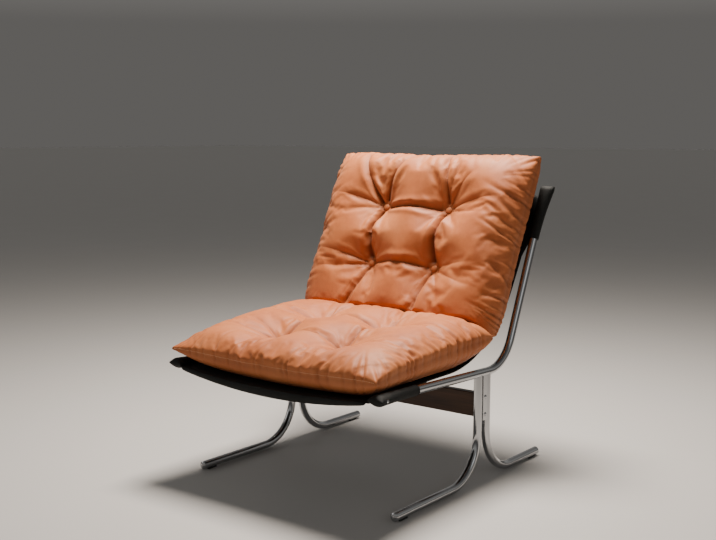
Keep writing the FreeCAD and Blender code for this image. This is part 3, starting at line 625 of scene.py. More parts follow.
@dataclass
class Sling:
    """The hammock: a stretched panel, its two hems, four pockets and their stitching."""

    finishes: Finishes
    across: int = 60
    along: int = 110
    pocket_sides: int = 28
    hem_steps: int = 20
    row_steps: int = 60
    mouth_steps: int = 48
    row_places: tuple[float, float] = (14 * MM, 20 * MM)
    row_inset: float = 4 * MM
    top_row_drop: float = 8 * MM
    mouth_inset: float = 7 * MM
    thread_rise: float = 0.1 * MM
    rows: StitchRow = field(default_factory=lambda: StitchRow(3.2 * MM, 4.4 * MM, 0.4 * MM))

    def half_width(self, run: float, line: SlingLine) -> float:
        """Half the panel's width, so far from the front edge: hollowed between the pockets."""
        free_from = SLING.front_pocket - SLING.overhang
        free_to = line.length - SLING.top
        if run <= free_from or run >= free_to:
            return SLING.widest
        share = (run - free_from) / (free_to - free_from)
        ease = min(1.0, min(share, 1 - share) * SLING.overlap_ease)
        hollow = SLING.edge_hollow * HOLLOW_SCALE * share * (1 - share) ** 2
        return TUBES.rail_x - SLING.edge_gap + SLING.pocket_overlap * (1 - ease) - hollow

    def panel(self) -> bpy.types.Object:
        """Stretch the panel over its hammock line."""
        bm = bmesh.new()
        uv = bm.loops.layers.uv.new("weave")
        bmesh.ops.create_grid(bm, x_segments=self.across, y_segments=self.along, size=1.0)
        middle = SlingLine(0.0, 0.0)
        flat = {}
        for vert in bm.verts:
            share = (vert.co.y + 1) / 2
            half = self.half_width(share * middle.length, middle)
            x = vert.co.x * half
            line = SlingLine(x, -SLING.thickness / 2)
            point, _ = line.at(share * line.length)
            flat[vert] = (x, share * middle.length)
            vert.co = point + X_AXIS * x
        for face in bm.faces:
            for loop in face.loops:
                loop[uv].uv = flat[loop.vert]
        bmesh.ops.recalc_face_normals(bm, faces=bm.faces[:])
        made = piece("sling_panel_cloth", bm, self.finishes.canvas)
        wall = made.modifiers.new("cloth", "SOLIDIFY")
        wall.thickness = SLING.thickness
        wall.offset = 0.0
        settle(made, FRAME_BODY, "sling_cloth", "sling_panel")
        return made

    def tube_band(self, name: str, rings: Sequence[tuple[Vector, Vector, Vector]], node: str,
                  closed: tuple[bool, bool]) -> bpy.types.Object:
        """Bridge oval rings into one band of cloth.

        Args:
            name: the piece's name.
            rings: for each ring its centre and its two half axes.
            node: the CAD node that it stands for.
            closed: whether the first and the last ring are closed by a cap.

        Returns:
            The new piece.
        """
        bm = bmesh.new()
        uv = bm.loops.layers.uv.new("weave")
        loops = []
        places = {}
        run = 0.0
        for count, (centre, wide, high) in enumerate(rings):
            if count:
                run += (centre - rings[count - 1][0]).length
            turn = Matrix((wide, high, wide.cross(high))).transposed().to_4x4()
            place = Matrix.Translation(centre) @ turn
            ring = bmesh.ops.create_circle(bm, segments=self.pocket_sides, radius=1.0, matrix=place)["verts"]
            girth = math.pi * (wide.length + high.length)
            for step, vert in enumerate(ring):
                places[vert] = (girth * step / self.pocket_sides, run)
            loops.append([edge for edge in bm.edges if edge.verts[0] in ring and edge.verts[1] in ring])
        for first, second in zip(loops, loops[1:]):
            bmesh.ops.bridge_loops(bm, edges=first + second)
        for loop, capped in zip((loops[0], loops[-1]), closed):
            if capped:
                bmesh.ops.contextual_create(bm, geom=loop)
        for face in bm.faces:
            for corner in face.loops:
                corner[uv].uv = places[corner.vert]
        bmesh.ops.recalc_face_normals(bm, faces=bm.faces[:])
        made = piece(name, bm, self.finishes.canvas)
        settle(made, FRAME_BODY, "sling_cloth", node)
        return made

    @staticmethod
    def rail_end(end: PocketEnd) -> tuple[Vector, Vector, float]:
        """Outward direction and tip of a rail end, and the length of its pocket."""
        if end is PocketEnd.FRONT:
            return -TUBES.seat_way, TUBES.front, SLING.front_pocket
        return TUBES.back_way, TUBES.top, SLING.top_pocket

    def pocket(self, side_name: str, side: int, end: PocketEnd) -> bpy.types.Object:
        """One pocket: a sleeve round the tube that flares outwards to a flat sewn end."""
        way, tip, length = self.rail_end(end)
        closed_end = tip + way * SLING.overhang + X_AXIS * (side * TUBES.rail_x)
        up = way.cross(X_AXIS * side) * side
        sleeve = TUBES.tube_radius + SLING.pocket_wall
        inner = TUBES.tube_radius + 0.4 * MM
        rings = []
        start = closed_end - way * length
        for radius, set_back in ((inner, 26), (inner, 6), (inner + 0.4 * MM, 0.6), (sleeve - 0.8 * MM, 0)):
            centre = start + way * (set_back * MM)
            rings.append((centre, X_AXIS * radius, up * radius))
        for share in (0.012, 0.1, 0.3, 0.5, 0.7, 0.85, 0.95, 1.0):
            wider = SLING.pocket_flare / 2 * share ** 2
            centre = closed_end - way * (SLING.overhang + (length - SLING.overhang) * (1 - share))
            rings.append((centre + X_AXIS * (side * wider), X_AXIS * (sleeve + wider), up * sleeve))
        flare = SLING.pocket_flare / 2
        for share in (0.75, 0.5, 0.25, 0.1, 0.02):
            high = SLING.pocket_lip + (sleeve - SLING.pocket_lip) * math.sqrt(share)
            centre = closed_end - way * (SLING.overhang * share) + X_AXIS * (side * flare)
            rings.append((centre, X_AXIS * (sleeve + flare), up * high))
        wide = sleeve + flare - 1.5 * MM
        rings.append((closed_end + X_AXIS * (side * flare), X_AXIS * wide, up * 1.4 * MM))
        node = f"{side_name}_{end.value}_pocket"
        made = self.tube_band(f"{node}_cloth", rings, node, (False, True))
        subdivided(made, 1)
        return made

    def hems(self) -> list[bpy.types.Object]:
        """The rolled front hem, turned down in its middle, and the rolled top hem."""
        half = SLING.half_span - SLING.pocket_wall - SLING.pocket_flare + SLING.hem_tuck
        rolls = {"front": [], "top": []}
        for x in spread(half, self.hem_steps):
            deep = SLING.hem_depth + SLING.hem_hang * (1 - (x / half) ** 2)
            edge = Vector((x, -SLING.front - SLING.hem_offset, SlingLine(x, 0.0).level))
            drop = Z_AXIS * (deep / 2 - SLING.hem_rise)
            rolls["front"].append((edge - drop, Y_AXIS * SLING.hem_half, Z_AXIS * deep / 2))
            line = SlingLine(x, -SLING.thickness / 2)
            set_in = SLING.way * SLING.top_hem_set_in + SLING.face * SLING.hem_offset
            top = line.at(line.length)[0] - set_in + X_AXIS * x
            rolls["top"].append((top, SLING.face * SLING.hem_half, SLING.way * SLING.top_hem_half))
        made = []
        for name, rings in rolls.items():
            node = f"sling_{name}_hem"
            made.append(self.tube_band(f"{node}_cloth", rings, node, (True, True)))
            subdivided(made[-1], 1)
        return made

    def stitching(self) -> bpy.types.Object:
        """Black rows beside the hems and round the pockets' mouths."""
        bm = bmesh.new()
        half = SLING.half_span - self.row_inset
        lines = [(x, SlingLine(x, self.thread_rise)) for x in spread(half, self.row_steps)]
        for set_back in self.row_places:
            points = [line.at(set_back)[0] + X_AXIS * x for x, line in lines]
            self.rows.sew(bm, points, [Z_AXIS] * len(points))
            from_top = set_back + self.top_row_drop
            points = [line.at(line.length - from_top)[0] + X_AXIS * x for x, line in lines]
            self.rows.sew(bm, points, [SLING.face] * len(points))
        for _, side in SIDES:
            for end in PocketEnd:
                way, tip, length = self.rail_end(end)
                up = way.cross(X_AXIS * side) * side
                radius = TUBES.tube_radius + SLING.pocket_wall + self.thread_rise
                inset = SLING.overhang - length + self.mouth_inset
                mouth = tip + way * inset + X_AXIS * (side * TUBES.rail_x)
                ring = [math.tau * step / self.mouth_steps for step in range(self.mouth_steps + 1)]
                away = [X_AXIS * math.cos(turn) + up * math.sin(turn) for turn in ring]
                self.rows.sew(bm, [mouth + out * radius for out in away], away)
        made = piece("sling_stitching", bm, self.finishes.black_thread)
        settle(made, FRAME_BODY, "sling_cloth")
        return made

    def build(self) -> None:
        panel = self.panel()
        pockets = [self.pocket(name, side, end) for name, side in SIDES for end in PocketEnd]
        hems = self.hems()
        sewn = self.stitching()
        length = SlingLine(0.0, 0.0).length


# Cushions


# Shape of every fold. Widths are shares of its spread, which grows from its start to its end.
START_SPREAD, MORE_SPREAD = 0.55, 0.6
CUSP_WIDTH, TROUGH_WIDTH = 0.5, 1.3
ROLL_PLACE, ROLL_WIDTH, ROLL_SHARE = 2.6, 1.2, 0.22
FOLD_REACH = 5


@dataclass(frozen=True)
class Fold:
    """A valley in the leather, in millimetres across (x) and along (from the free edge)."""

    start: tuple[float, float]
    end: tuple[float, float]
    depth: float
    width: float = 8.0
    bow: float = 0.0
    from_start: float = 1.0
    to_end: float = 0.0
    sharp: float = 0.55

    def line(self, steps: int = 14) -> np.ndarray:
        """Points along the fold."""
        start, end = np.array(self.start), np.array(self.end)
        share = np.linspace(0, 1, steps)[:, None]
        run = end - start
        across = np.array([-run[1], run[0]]) / max(1e-6, np.hypot(*run))
        return start + run * share + across * (self.bow * 4 * share * (1 - share))

    def press(self, places: np.ndarray) -> np.ndarray:
        """How deep the fold is at each place.

        Args:
            places: rows of across and along, in millimetres.

        Returns:
            The depth in millimetres; a negative depth is the roll beside the fold.
        """
        line = self.line()
        reach = FOLD_REACH * self.width
        depth = np.zeros(len(places))
        near = np.all((places > line.min(0) - reach) & (places < line.max(0) + reach), axis=1)
        spots = places[near]
        best = np.full(len(spots), 1e9)
        share = np.zeros(len(spots))
        for count, (a, b) in enumerate(zip(line, line[1:])):
            run = b - a
            part = np.clip(((spots - a) @ run) / (run @ run), 0, 1)
            gap = np.hypot(*(spots - a - part[:, None] * run).T)
            closer = gap < best
            best[closer] = gap[closer]
            share[closer] = (count + part[closer]) / (len(line) - 1)
        strength = self.from_start + (self.to_end - self.from_start) * share
        wide = self.width * (START_SPREAD + MORE_SPREAD * share)
        cusp, trough = np.exp(-best / (CUSP_WIDTH * wide)), np.exp(-(best / (TROUGH_WIDTH * wide)) ** 2)
        roll = np.exp(-((best - ROLL_PLACE * wide) / (ROLL_WIDTH * wide)) ** 2)
        valley = self.sharp * cusp + (1 - self.sharp) * trough
        depth[near] = self.depth * strength * (valley - ROLL_SHARE * roll)
        return depth


CLOTH_SETTINGS = {
    "quality": 6, "mass": 0.25, "tension_stiffness": 25, "compression_stiffness": 25, "shear_stiffness": 8,
    "bending_stiffness": 0.6, "tension_damping": 12, "compression_damping": 12, "air_damping": 3,
    "vertex_group_mass": "held", "pin_stiffness": 1.0, "use_pressure": True, "uniform_pressure_force": 4.0,
    "shrink_min": -0.045,
}
CLOTH_FRAMES = 20
SEAM_HOLD = 0.92


class CushionKind(Enum):
    """The two cushions."""

    SEAT = "seat"
    BACK = "back"


@dataclass
class Cushion:
    """One stuffed cushion with three puffs each way between four buttons."""

    kind: CushionKind
    finishes: Finishes
    seam_start: Vector
    way: Vector
    face: Vector
    length: float
    crown: float
    tuft_height: float
    free_round: float
    crease_round: float
    seam_sag: float
    fill: float
    seed: int
    left_pinch: float
    right_pinch: float
    corner_draw: float
    corner_lift: float
    gather: float
    folds: list[Fold] = field(default_factory=list)
    half_width: float = 337 * MM
    shift: float = -8 * MM
    column: float = 108 * MM
    row_pitch: float = 172 * MM
    side_draw: float = 9 * MM
    edge_draw: float = 10 * MM
    shoulder: float = 86 * MM
    under_round: float = 82 * MM
    edge_round: float = 52 * MM
    clearance: float = 1.5 * MM
    across: int = 124
    along: int = 98
    funnel: float = 41 * MM
    funnel_stretch: float = 1.1
    funnel_power: float = 1.1
    crown_power: float = 0.86
    most_swell: float = 24 * MM
    button_radius: float = 10.5 * MM
    button_hold: float = 14 * MM
    seam_groove: float = 2.6 * MM
    button_reach: float = 9.0
    button_sink: float = 0.6 * MM
    button_clear: float = 10.0
    clear_reach: float = 12.0
    stitch_steps: int = 220
    stitch_inset: float = 9.0
    stitch_rise: float = 1.6
    fold_tilt: float = 0.7
    # painted shade: the fold depth in millimetres that gives full shade, and the shade of the seam groove
    full_shade_depth: float = 12.0
    seam_shade: float = 0.15
    under_share: float = 0.4
    fine_depth: float = 1.2
    corner_clear: float = 14.0
    corner_puff: float = 105.0
    corner_calm: float = 0.9
    # painted shade round the buttons, and how far it reaches in millimetres
    funnel_shade: float = 0.5
    shade_reach: float = 24.0
    crease_gap: float = 1.2 * MM
    corner_reach: float = 85 * MM
    seam_stitch: StitchRow = field(default_factory=StitchRow)

    @property
    def body(self) -> str:
        """The CAD body that the cushion is."""
        return f"{self.kind.value}_cushion"

    @property
    def rows(self) -> tuple[float, float]:
        """Distance of the two button rows from the free edge."""
        return (self.length - self.row_pitch) / 2, (self.length + self.row_pitch) / 2

    @property
    def tufts(self) -> list[tuple[float, float]]:
        """The four buttons, across and along."""
        return [(side * self.column, row) for row in self.rows for side in (-1, 1)]

    def at(self, across: float, along: float, height: float) -> Vector:
        """A point above the seam plane."""
        return self.seam_start + X_AXIS * (across + self.shift) + self.way * along + self.face * height

    @staticmethod
    def rounded(gap: float, radius: float) -> float:
        """A quarter round, from 0 at an edge to 1 a radius away."""
        past = 1 - min(1.0, gap / radius)
        return math.sqrt(max(0.0, 1 - past ** 2))

    def seam_height(self, across: float, along: float) -> float:
        """Height of the seam plane, which sags with the sling at the free edge."""
        share = 1 - (across / self.half_width) ** 2
        return -self.seam_sag * share * max(0.0, 1 - along / (0.6 * self.length)) ** 0.7

    def plan(self, u: float, v: float) -> tuple[float, float]:
        """Across and along for shares of the plan, with drawn-in edges."""
        draw = self.side_draw * 4 * v * (1 - v) + self.corner_draw * max(0.0, (v - 0.8) / 0.2) ** 2
        across = u * (self.half_width - draw)
        ends = self.edge_draw * (1 - u * u)
        lift = self.corner_lift * max(0.0, (abs(u) - 0.7) / 0.3) ** 2 * max(0.0, (v - 0.75) / 0.25)
        along = ends + (self.length - 1.4 * ends) * v - lift
        return across, along

    def pinched(self, u: float, v: float) -> float:
        """How much of its thickness the cushion keeps near its two free corners, which end in a point."""
        gap = math.hypot((1 - abs(u)) * self.half_width, v * self.length)
        pinch = self.right_pinch if u > 0 else self.left_pinch
        return 1 - pinch * math.exp(-(gap / self.corner_reach) ** 2)

    def top_height(self, u: float, v: float) -> float:
        """Height of the puffed side above the seam plane, with the buttons pulled in."""
        across, along = self.plan(u, v)
        side_gap = (1 - abs(u)) * self.half_width
        full = self.rounded(side_gap, self.shoulder) * self.rounded(v * self.length, self.free_round)
        full *= self.rounded((1 - v) * self.length, self.crease_round) * self.pinched(u, v)
        pulled = 0.0
        for x, row in self.tufts:
            far = math.hypot(across - x, (along - row) * self.funnel_stretch)
            gap = max(0.0, far - self.button_radius)
            pulled = max(pulled, math.exp(-(gap / self.funnel) ** self.funnel_power))
        return self.crown * full ** self.crown_power - (self.crown - self.tuft_height) * pulled

    def under_depth(self, u: float, v: float) -> float:
        """Depth of the side that lies on the sling, below the seam plane."""
        across, along = self.plan(u, v)
        line = SlingLine(across + self.shift, self.clearance)
        level = self.seam_height(across, along)
        deep = line.depth(self.at(across, along, level), self.face)
        gap = (1 - abs(u)) * self.half_width
        full = self.rounded(gap, self.under_round) * self.rounded(v * self.length, self.edge_round)
        full *= self.pinched(u, v)
        return deep * full * self.rounded((1 - v) * self.length, self.edge_round * 0.6)

    def blank(self) -> bpy.types.Object:
        """The stuffed form before its leather is pulled tight: two grids that share the seam."""
        bm = bmesh.new()
        flag = bm.verts.layers.float.new("puffed")
        spots = [bm.verts.layers.float.new(name) for name in ("across", "along")]
        bmesh.ops.create_grid(bm, x_segments=self.across, y_segments=self.along, size=1.0)
        top = bm.verts[:]
        under = bmesh.ops.duplicate(bm, geom=bm.verts[:] + bm.edges[:] + bm.faces[:])["geom"]
        bmesh.ops.reverse_faces(bm, faces=[part for part in under if isinstance(part, bmesh.types.BMFace)])
        under_verts = [part for part in under if isinstance(part, bmesh.types.BMVert)]
        for verts, puffed in ((top, 1.0), (under_verts, 0.0)):
            for vert in verts:
                u, v = self.ease(vert.co.x), (self.ease(vert.co.y) + 1) / 2
                across, along = self.plan(u, v)
                level = self.seam_height(across, along)
                height = self.top_height(u, v) if puffed else -self.under_depth(u, v)
                edge = abs(abs(vert.co.x) - 1) < 1e-5 or abs(abs(vert.co.y) - 1) < 1e-5
                vert[flag] = 0.5 if edge else puffed
                vert[spots[0]] = across / MM
                vert[spots[1]] = along / MM
                vert.co = self.at(across, along, level + (0.0 if edge else height))
        bmesh.ops.remove_doubles(bm, verts=bm.verts[:], dist=0.02 * MM)
        bmesh.ops.recalc_face_normals(bm, faces=bm.faces[:])
        return piece(f"{self.kind.value}_cushion_leather", bm, self.finishes.leather)

    @staticmethod
    def ease(share: float) -> float:
        """Bring the grid's lines closer together towards the seam."""
        return math.sin(share * math.pi / 2) * 0.45 + share * 0.55

    def inflate(self, made: bpy.types.Object) -> None:
        """Blow the leather up as cloth, held at the seam, the buttons and the sling, and apply the result."""
        mesh = made.data
        before = coordinates(mesh)
        puffed = self.layer(mesh, "puffed")
        places = self.places(mesh)
        held = made.vertex_groups.new(name="held")
        buttoned = self.button_gap(places) < self.button_hold / MM
        hold = np.where(puffed < 0.4, 1.0, np.where(puffed < 0.6, SEAM_HOLD, buttoned))
        for count in np.flatnonzero(hold).tolist():
            held.add([count], float(hold[count]), "REPLACE")
        cloth = made.modifiers.new("leather", "CLOTH")
        for name, setting in CLOTH_SETTINGS.items():
            setattr(cloth.settings, name, setting)
        cloth.settings.effector_weights.gravity = 0.0
        cloth.collision_settings.use_collision = False
        cloth.collision_settings.use_self_collision = False
        scene = bpy.context.scene
        cloth.point_cache.frame_start = 1
        cloth.point_cache.frame_end = CLOTH_FRAMES
        for number in range(1, CLOTH_FRAMES + 1):
            scene.frame_set(number)
        graph = bpy.context.evaluated_depsgraph_get()
        blown = made.evaluated_get(graph).to_mesh()
        after = coordinates(blown)
        made.evaluated_get(graph).to_mesh_clear()
        made.modifiers.remove(cloth)
        scene.frame_set(1)
        travel = after - before
        far = np.linalg.norm(travel, axis=1, keepdims=True)
        side_gap = self.half_width / MM - np.abs(places[:, 0])
        end_gap = np.minimum(places[:, 1], self.length / MM - places[:, 1])
        calm = 1 - self.corner_calm * np.exp(-(np.hypot(side_gap, end_gap) / self.corner_puff) ** 2)
        soft = self.most_swell * np.tanh(far / self.most_swell) * calm[:, None]
        after = before + travel * np.divide(soft, far, out=np.zeros_like(far), where=far > 0)
        LOG.info("%s swelled by up to %.1f mm", made.name, float(far.max()) / MM)
        move(mesh, after)

    @staticmethod
    def layer(mesh: bpy.types.Mesh, name: str) -> np.ndarray:
        """A value that each vertex carries."""
        values = np.empty(len(mesh.vertices), dtype=np.float32)
        mesh.attributes[name].data.foreach_get("value", values)
        return values

    def places(self, mesh: bpy.types.Mesh) -> np.ndarray:
        """Across and along of each vertex, in millimetres."""
        return np.stack([self.layer(mesh, "across"), self.layer(mesh, "along")], axis=1).astype(float)

    def button_gap(self, places: np.ndarray) -> np.ndarray:
        """Distance of each place from the nearest button, in millimetres."""
        gaps = [np.hypot(places[:, 0] - x / MM, places[:, 1] - row / MM) for x, row in self.tufts]
        return np.min(gaps, axis=0)

    def refine(self, made: bpy.types.Object) -> None:
        """Divide the faces once, so that the folds have enough of them."""
        subdivided(made, 1)
        graph = bpy.context.evaluated_depsgraph_get()
        fine = bpy.data.meshes.new_from_object(made.evaluated_get(graph))
        coarse = made.data
        name = coarse.name
        made.modifiers.clear()
        made.vertex_groups.clear()
        made.data = fine
        bpy.data.meshes.remove(coarse)
        fine.name = name

    def sharpen(self, made: bpy.types.Object) -> None:
        """Divide the edges that a fold passes once more."""
        bm = bmesh.new()
        bm.from_mesh(made.data)
        depth = np.abs(self.pressed(self.folds + self.wrinkles(), self.places(made.data)))
        upper = self.layer(made.data, "puffed") > 0.5
        fine = (depth > self.fine_depth) & upper
        edges = [edge for edge in bm.edges if fine[edge.verts[0].index] and fine[edge.verts[1].index]]
        bmesh.ops.subdivide_edges(bm, edges=edges, cuts=1, use_grid_fill=True)
        bm.to_mesh(made.data)
        bm.free()

    def wrinkles(self) -> list[Fold]:
        """Fine wrinkles that run out from each button."""
        draw = np.random.default_rng(self.seed + 1)
        lines = []
        for x, row in self.tufts:
            turn = draw.uniform(0, 0.4)
            while turn < math.tau:
                way = np.array([math.cos(turn), math.sin(turn)])
                middle = np.array([x, row]) / MM
                reach = draw.uniform(36, 86)
                start, end = middle + way * 13, middle + way * reach
                deep = (draw.uniform(0.9, 2.4) + 1.6 * draw.uniform() ** 2) * abs(math.sin(2 * turn))
                wide, bow = draw.uniform(3.6, 6.0), draw.uniform(-8, 8)
                if abs(way[0]) > 0.5:
                    lines.append(Fold(tuple(start), tuple(end), deep, wide, bow, sharp=0.25))
                turn += draw.uniform(0.28, 0.75)
        return lines

    def gathered(self, draw: np.random.Generator, start: tuple[float, float], end: tuple[float, float],
                 deep: float) -> Fold:
        """One pucker that starts at the seam and, near a corner, turns towards the corner's puff.

        Args:
            draw: the cushion's random numbers.
            start: where the pucker leaves the seam, across and along in millimetres.
            end: where it would end away from a corner.
            deep: its depth in millimetres.

        Returns:
            The pucker.
        """
        half, length = self.half_width / MM, self.length / MM
        puff = np.array([math.copysign(half - self.corner_puff, start[0]), self.corner_puff])
        if start[1] > length / 2:
            puff[1] = length - self.corner_puff
        from_corner = max(half - abs(start[0]), min(start[1], length - start[1]))
        turned = min(1.0, max(0.0, 1.6 - from_corner / self.corner_puff))
        towards = np.array(start) + (puff - np.array(start)) * draw.uniform(0.5, 0.95)
        end = tuple(np.array(end) * (1 - turned) + towards * turned)
        return Fold(start, end, deep, draw.uniform(4.0, 7.5), draw.uniform(-10, 10) * (1 - turned), sharp=0.2)

    def gathers(self) -> list[Fold]:
        """Short puckers all round the seam, leaning forwards on the sides."""
        draw = np.random.default_rng(self.seed)
        half, length = self.half_width / MM, self.length / MM
        puckers = []
        for side in (-1, 1):
            along = self.corner_clear
            while along < length - self.corner_clear:
                end = (side * (half - draw.uniform(40, 150)), along + draw.uniform(-75, 5))
                deep = self.gather * (draw.uniform(0.8, 2.2) + 2.4 * draw.uniform() ** 3)
                puckers.append(self.gathered(draw, (side * (half - 2), along), end, deep))
                along += draw.uniform(12, 48)
        for edge, inwards in ((6.0, 1), (length - 6, -1)):
            across = -half + self.corner_clear
            while across < half - self.corner_clear:
                end = (across + draw.uniform(-34, 34), edge + inwards * draw.uniform(30, 120))
                deep = self.gather * (draw.uniform(0.6, 1.8) + 2.2 * draw.uniform() ** 3)
                puckers.append(self.gathered(draw, (across, edge), end, deep))
                across += draw.uniform(14, 56)
        return puckers

    def crease(self, made: bpy.types.Object) -> None:
        """Press the folds, the puckers and the seam into the leather, and store painted shade in the folds,
        the button funnels and the seam groove.
        """
        mesh = made.data
        points = coordinates(mesh)
        out = normals(mesh)
        places = self.places(mesh)
        puffed = self.layer(mesh, "puffed")
        seam = 1 - np.abs(puffed - 0.5) * 2
        upper = np.clip((puffed - 0.5) * 2 + seam * 0.7, 0, 1)
        gap = self.button_gap(places)
        clear = np.clip((gap - self.button_clear) / self.clear_reach, 0, 1)
        folded = self.pressed(self.folds + self.wrinkles(), places) * upper * clear * clear * (3 - 2 * clear)
        drawn = self.pressed(self.gathers(), places) * np.clip(upper + (1 - upper) * self.under_share, 0, 1)
        drawn += self.seam_groove / MM * seam ** 2
        inwards = np.array(self.face) + self.fold_tilt * out
        inwards /= np.linalg.norm(inwards, axis=1, keepdims=True)
        points -= inwards * (folded * MM)[:, None] + out * (drawn * MM)[:, None]
        move(mesh, self.kept_to_its_side(points))
        depth = folded + drawn
        # painted shade: darker in the button funnels, in the folds and puckers by their depth, and along the
        # seam groove
        shade_layer = mesh.attributes.new("painted_crease_shade", "FLOAT", "POINT")
        shade = self.funnel_shade * np.exp(-(gap / self.shade_reach) ** 2) * upper
        shade += depth / self.full_shade_depth + self.seam_shade * seam ** 2
        shade_layer.data.foreach_set("value", np.clip(shade, 0, 1).astype(np.float32))

    @staticmethod
    def pressed(folds: Sequence[Fold], places: np.ndarray) -> np.ndarray:
        """Depth of many folds together: the deepest valley and the highest roll at each place."""
        valley = np.zeros(len(places))
        roll = np.zeros(len(places))
        for fold in folds:
            depth = fold.press(places)
            valley = np.maximum(valley, depth)
            roll = np.minimum(roll, depth)
        return valley + roll

    def kept_to_its_side(self, points: np.ndarray) -> np.ndarray:
        """Flatten what would pass the plane where the two cushions press on each other."""
        rim = SlingLine(SLING.half_span, 0.0)
        crease_way = (SLING.way - Y_AXIS).normalized()
        middle = rim.centre - crease_way * rim.radius
        out = Vector((0, crease_way.z, -crease_way.y)) * (-1 if self.kind is CushionKind.SEAT else 1)
        beyond = self.crease_gap - (points - np.array(middle)) @ np.array(out)
        return points + np.clip(beyond, 0, None)[:, None] * np.array(out)

    def surface(self, made: bpy.types.Object) -> tuple[np.ndarray, np.ndarray, np.ndarray]:
        """Points, normals and places of the finished leather's puffed side."""
        mesh = made.data
        keep = self.layer(mesh, "puffed") > 0.6
        return coordinates(mesh)[keep], normals(mesh)[keep], self.places(mesh)[keep]

    def buttons(self, made: bpy.types.Object) -> bpy.types.Object:
        """Four covered buttons, each seated in its funnel."""
        points, _, places = self.surface(made)
        bm = bmesh.new()
        for x, row in self.tufts:
            gap = np.hypot(places[:, 0] - x / MM, places[:, 1] - row / MM)
            near = points[gap < self.button_reach]
            heights = (near - np.array(self.seam_start)) @ np.array(self.face)
            self.button(bm, self.at(x, row, float(heights.max()) - self.button_sink))
        knobs = piece(f"{self.kind.value}_covered_buttons", bm, self.finishes.leather)
        subdivided(knobs, 1)
        settle(knobs, self.body, "tan_leather", f"{self.kind.value}_buttons")
        return knobs

    def button(self, bm: bmesh.types.BMesh, seat: Vector) -> None:
        """Turn one button: a domed cap rolled over a thin rim."""
        turn = Matrix((X_AXIS, self.face.cross(X_AXIS), self.face)).transposed().to_4x4()
        place = Matrix.Translation(seat) @ turn
        radius = self.button_radius
        profile = (
            (0.0, 6.4), (0.35, 6.1), (0.68, 5.0), (0.9, 3.2),
            (1.0, 1.6), (0.93, 0.4), (0.6, -0.6), (0.3, -2.5),
        )
        verts = [bm.verts.new(place @ Vector((share * radius, 0, height * MM))) for share, height in profile]
        edges = [bm.edges.new(pair) for pair in zip(verts, verts[1:])]
        bmesh.ops.spin(
            bm, geom=verts + edges, cent=seat, axis=self.face, dvec=(0, 0, 0), angle=math.tau, steps=24,
            use_merge=True,
        )
        bmesh.ops.remove_doubles(bm, verts=bm.verts[:], dist=0.05 * MM)
        bmesh.ops.recalc_face_normals(bm, faces=bm.faces[:])

    def stitches(self, made: bpy.types.Object) -> bpy.types.Object:
        """A row of pale stitches just above the seam."""
        points, out, places = self.surface(made)
        half = self.half_width / MM
        bm = bmesh.new()
        line, away = [], []
        for across in spread(half - self.stitch_inset, self.stitch_steps):
            share = across / half
            along = self.edge_draw / MM * (1 - share * share) + self.stitch_rise
            near = np.argmin(np.hypot(places[:, 0] - across, (places[:, 1] - along) * 3))
            line.append(Vector(points[near]) + Vector(out[near]) * 0.2 * MM)
            away.append(Vector(out[near]))
        smooth = [line[0]] + [(a + b + c) / 3 for a, b, c in zip(line, line[1:], line[2:])] + [line[-1]]
        self.seam_stitch.sew(bm, smooth, away)
        sewn = piece(f"{self.kind.value}_seam_stitches", bm, self.finishes.pale_thread)
        settle(sewn, self.body, "tan_leather")
        return sewn

    def build(self) -> None:
        """Stuff, inflate, fold and sew the cushion."""
        made = self.blank()
        self.inflate(made)
        self.refine(made)
        self.sharpen(made)
        self.crease(made)
        name = self.kind.value
        settle(
            made, self.body, "tan_leather", f"{name}_cushion_cover", f"{name}_cushion_filling",
            f"{name}_tuft_cords", f"{name}_tuft_anchors",
        )
        self.buttons(made)
        self.stitches(made)


def seat_cushion(finishes: Finishes) -> Cushion:
    """The seat cushion, its front edge free."""
    front, rear, col = 172.0, 344.0, 108.0
    folds = []
    for side in (-1, 1):
        x = side * col
        folds += [
            Fold((x, front), (x, rear), 9, 8, side * 8, 1.0, 0.9),
            Fold((x, front), (x - 14, 30), 6, 8, 6),
            Fold((x, front), (x + 38, 40), 6, 7, -5),
            Fold((x, front), (x + side * 190, front - 40), 6, 8, 8),
            Fold((x, front), (x + side * 170, front + 40), 5, 8, -6),
            Fold((x, front), (x + side * 110, front - 90), 4, 7, 4),
            Fold((x, rear), (x + side * 190, rear + 10), 6, 8, 6),
            Fold((x, rear), (x + 26, 490), 6, 8, 6),
            Fold((x, rear), (x - 30, 495), 5, 8, -6),
            Fold((x, rear), (x + side * 120, rear - 60), 4, 7, 4),
        ]
    folds += [
        Fold((-col, front), (col, front), 7, 8, 6, 1.0, 1.0),
        Fold((-col, rear), (col, rear), 7, 8, -5, 1.0, 1.0),
        Fold((col, front), (40, front + 60), 5, 7, 5),
        Fold((-col, front), (-40, front + 50), 4, 7, -4),
        Fold((col, rear), (40, rear - 60), 5, 7, -5),
    ]
    return Cushion(
        CushionKind.SEAT, finishes, Vector((0, -398, 345)) * MM, side_view(3.2), side_view(93.2),
        length=514 * MM, crown=54 * MM, tuft_height=18 * MM, free_round=90 * MM, crease_round=60 * MM,
        seam_sag=15 * MM, fill=0.7, seed=11, left_pinch=0.4, right_pinch=0.0, corner_draw=2 * MM,
        corner_lift=0.0, gather=1.7, folds=folds,
    )


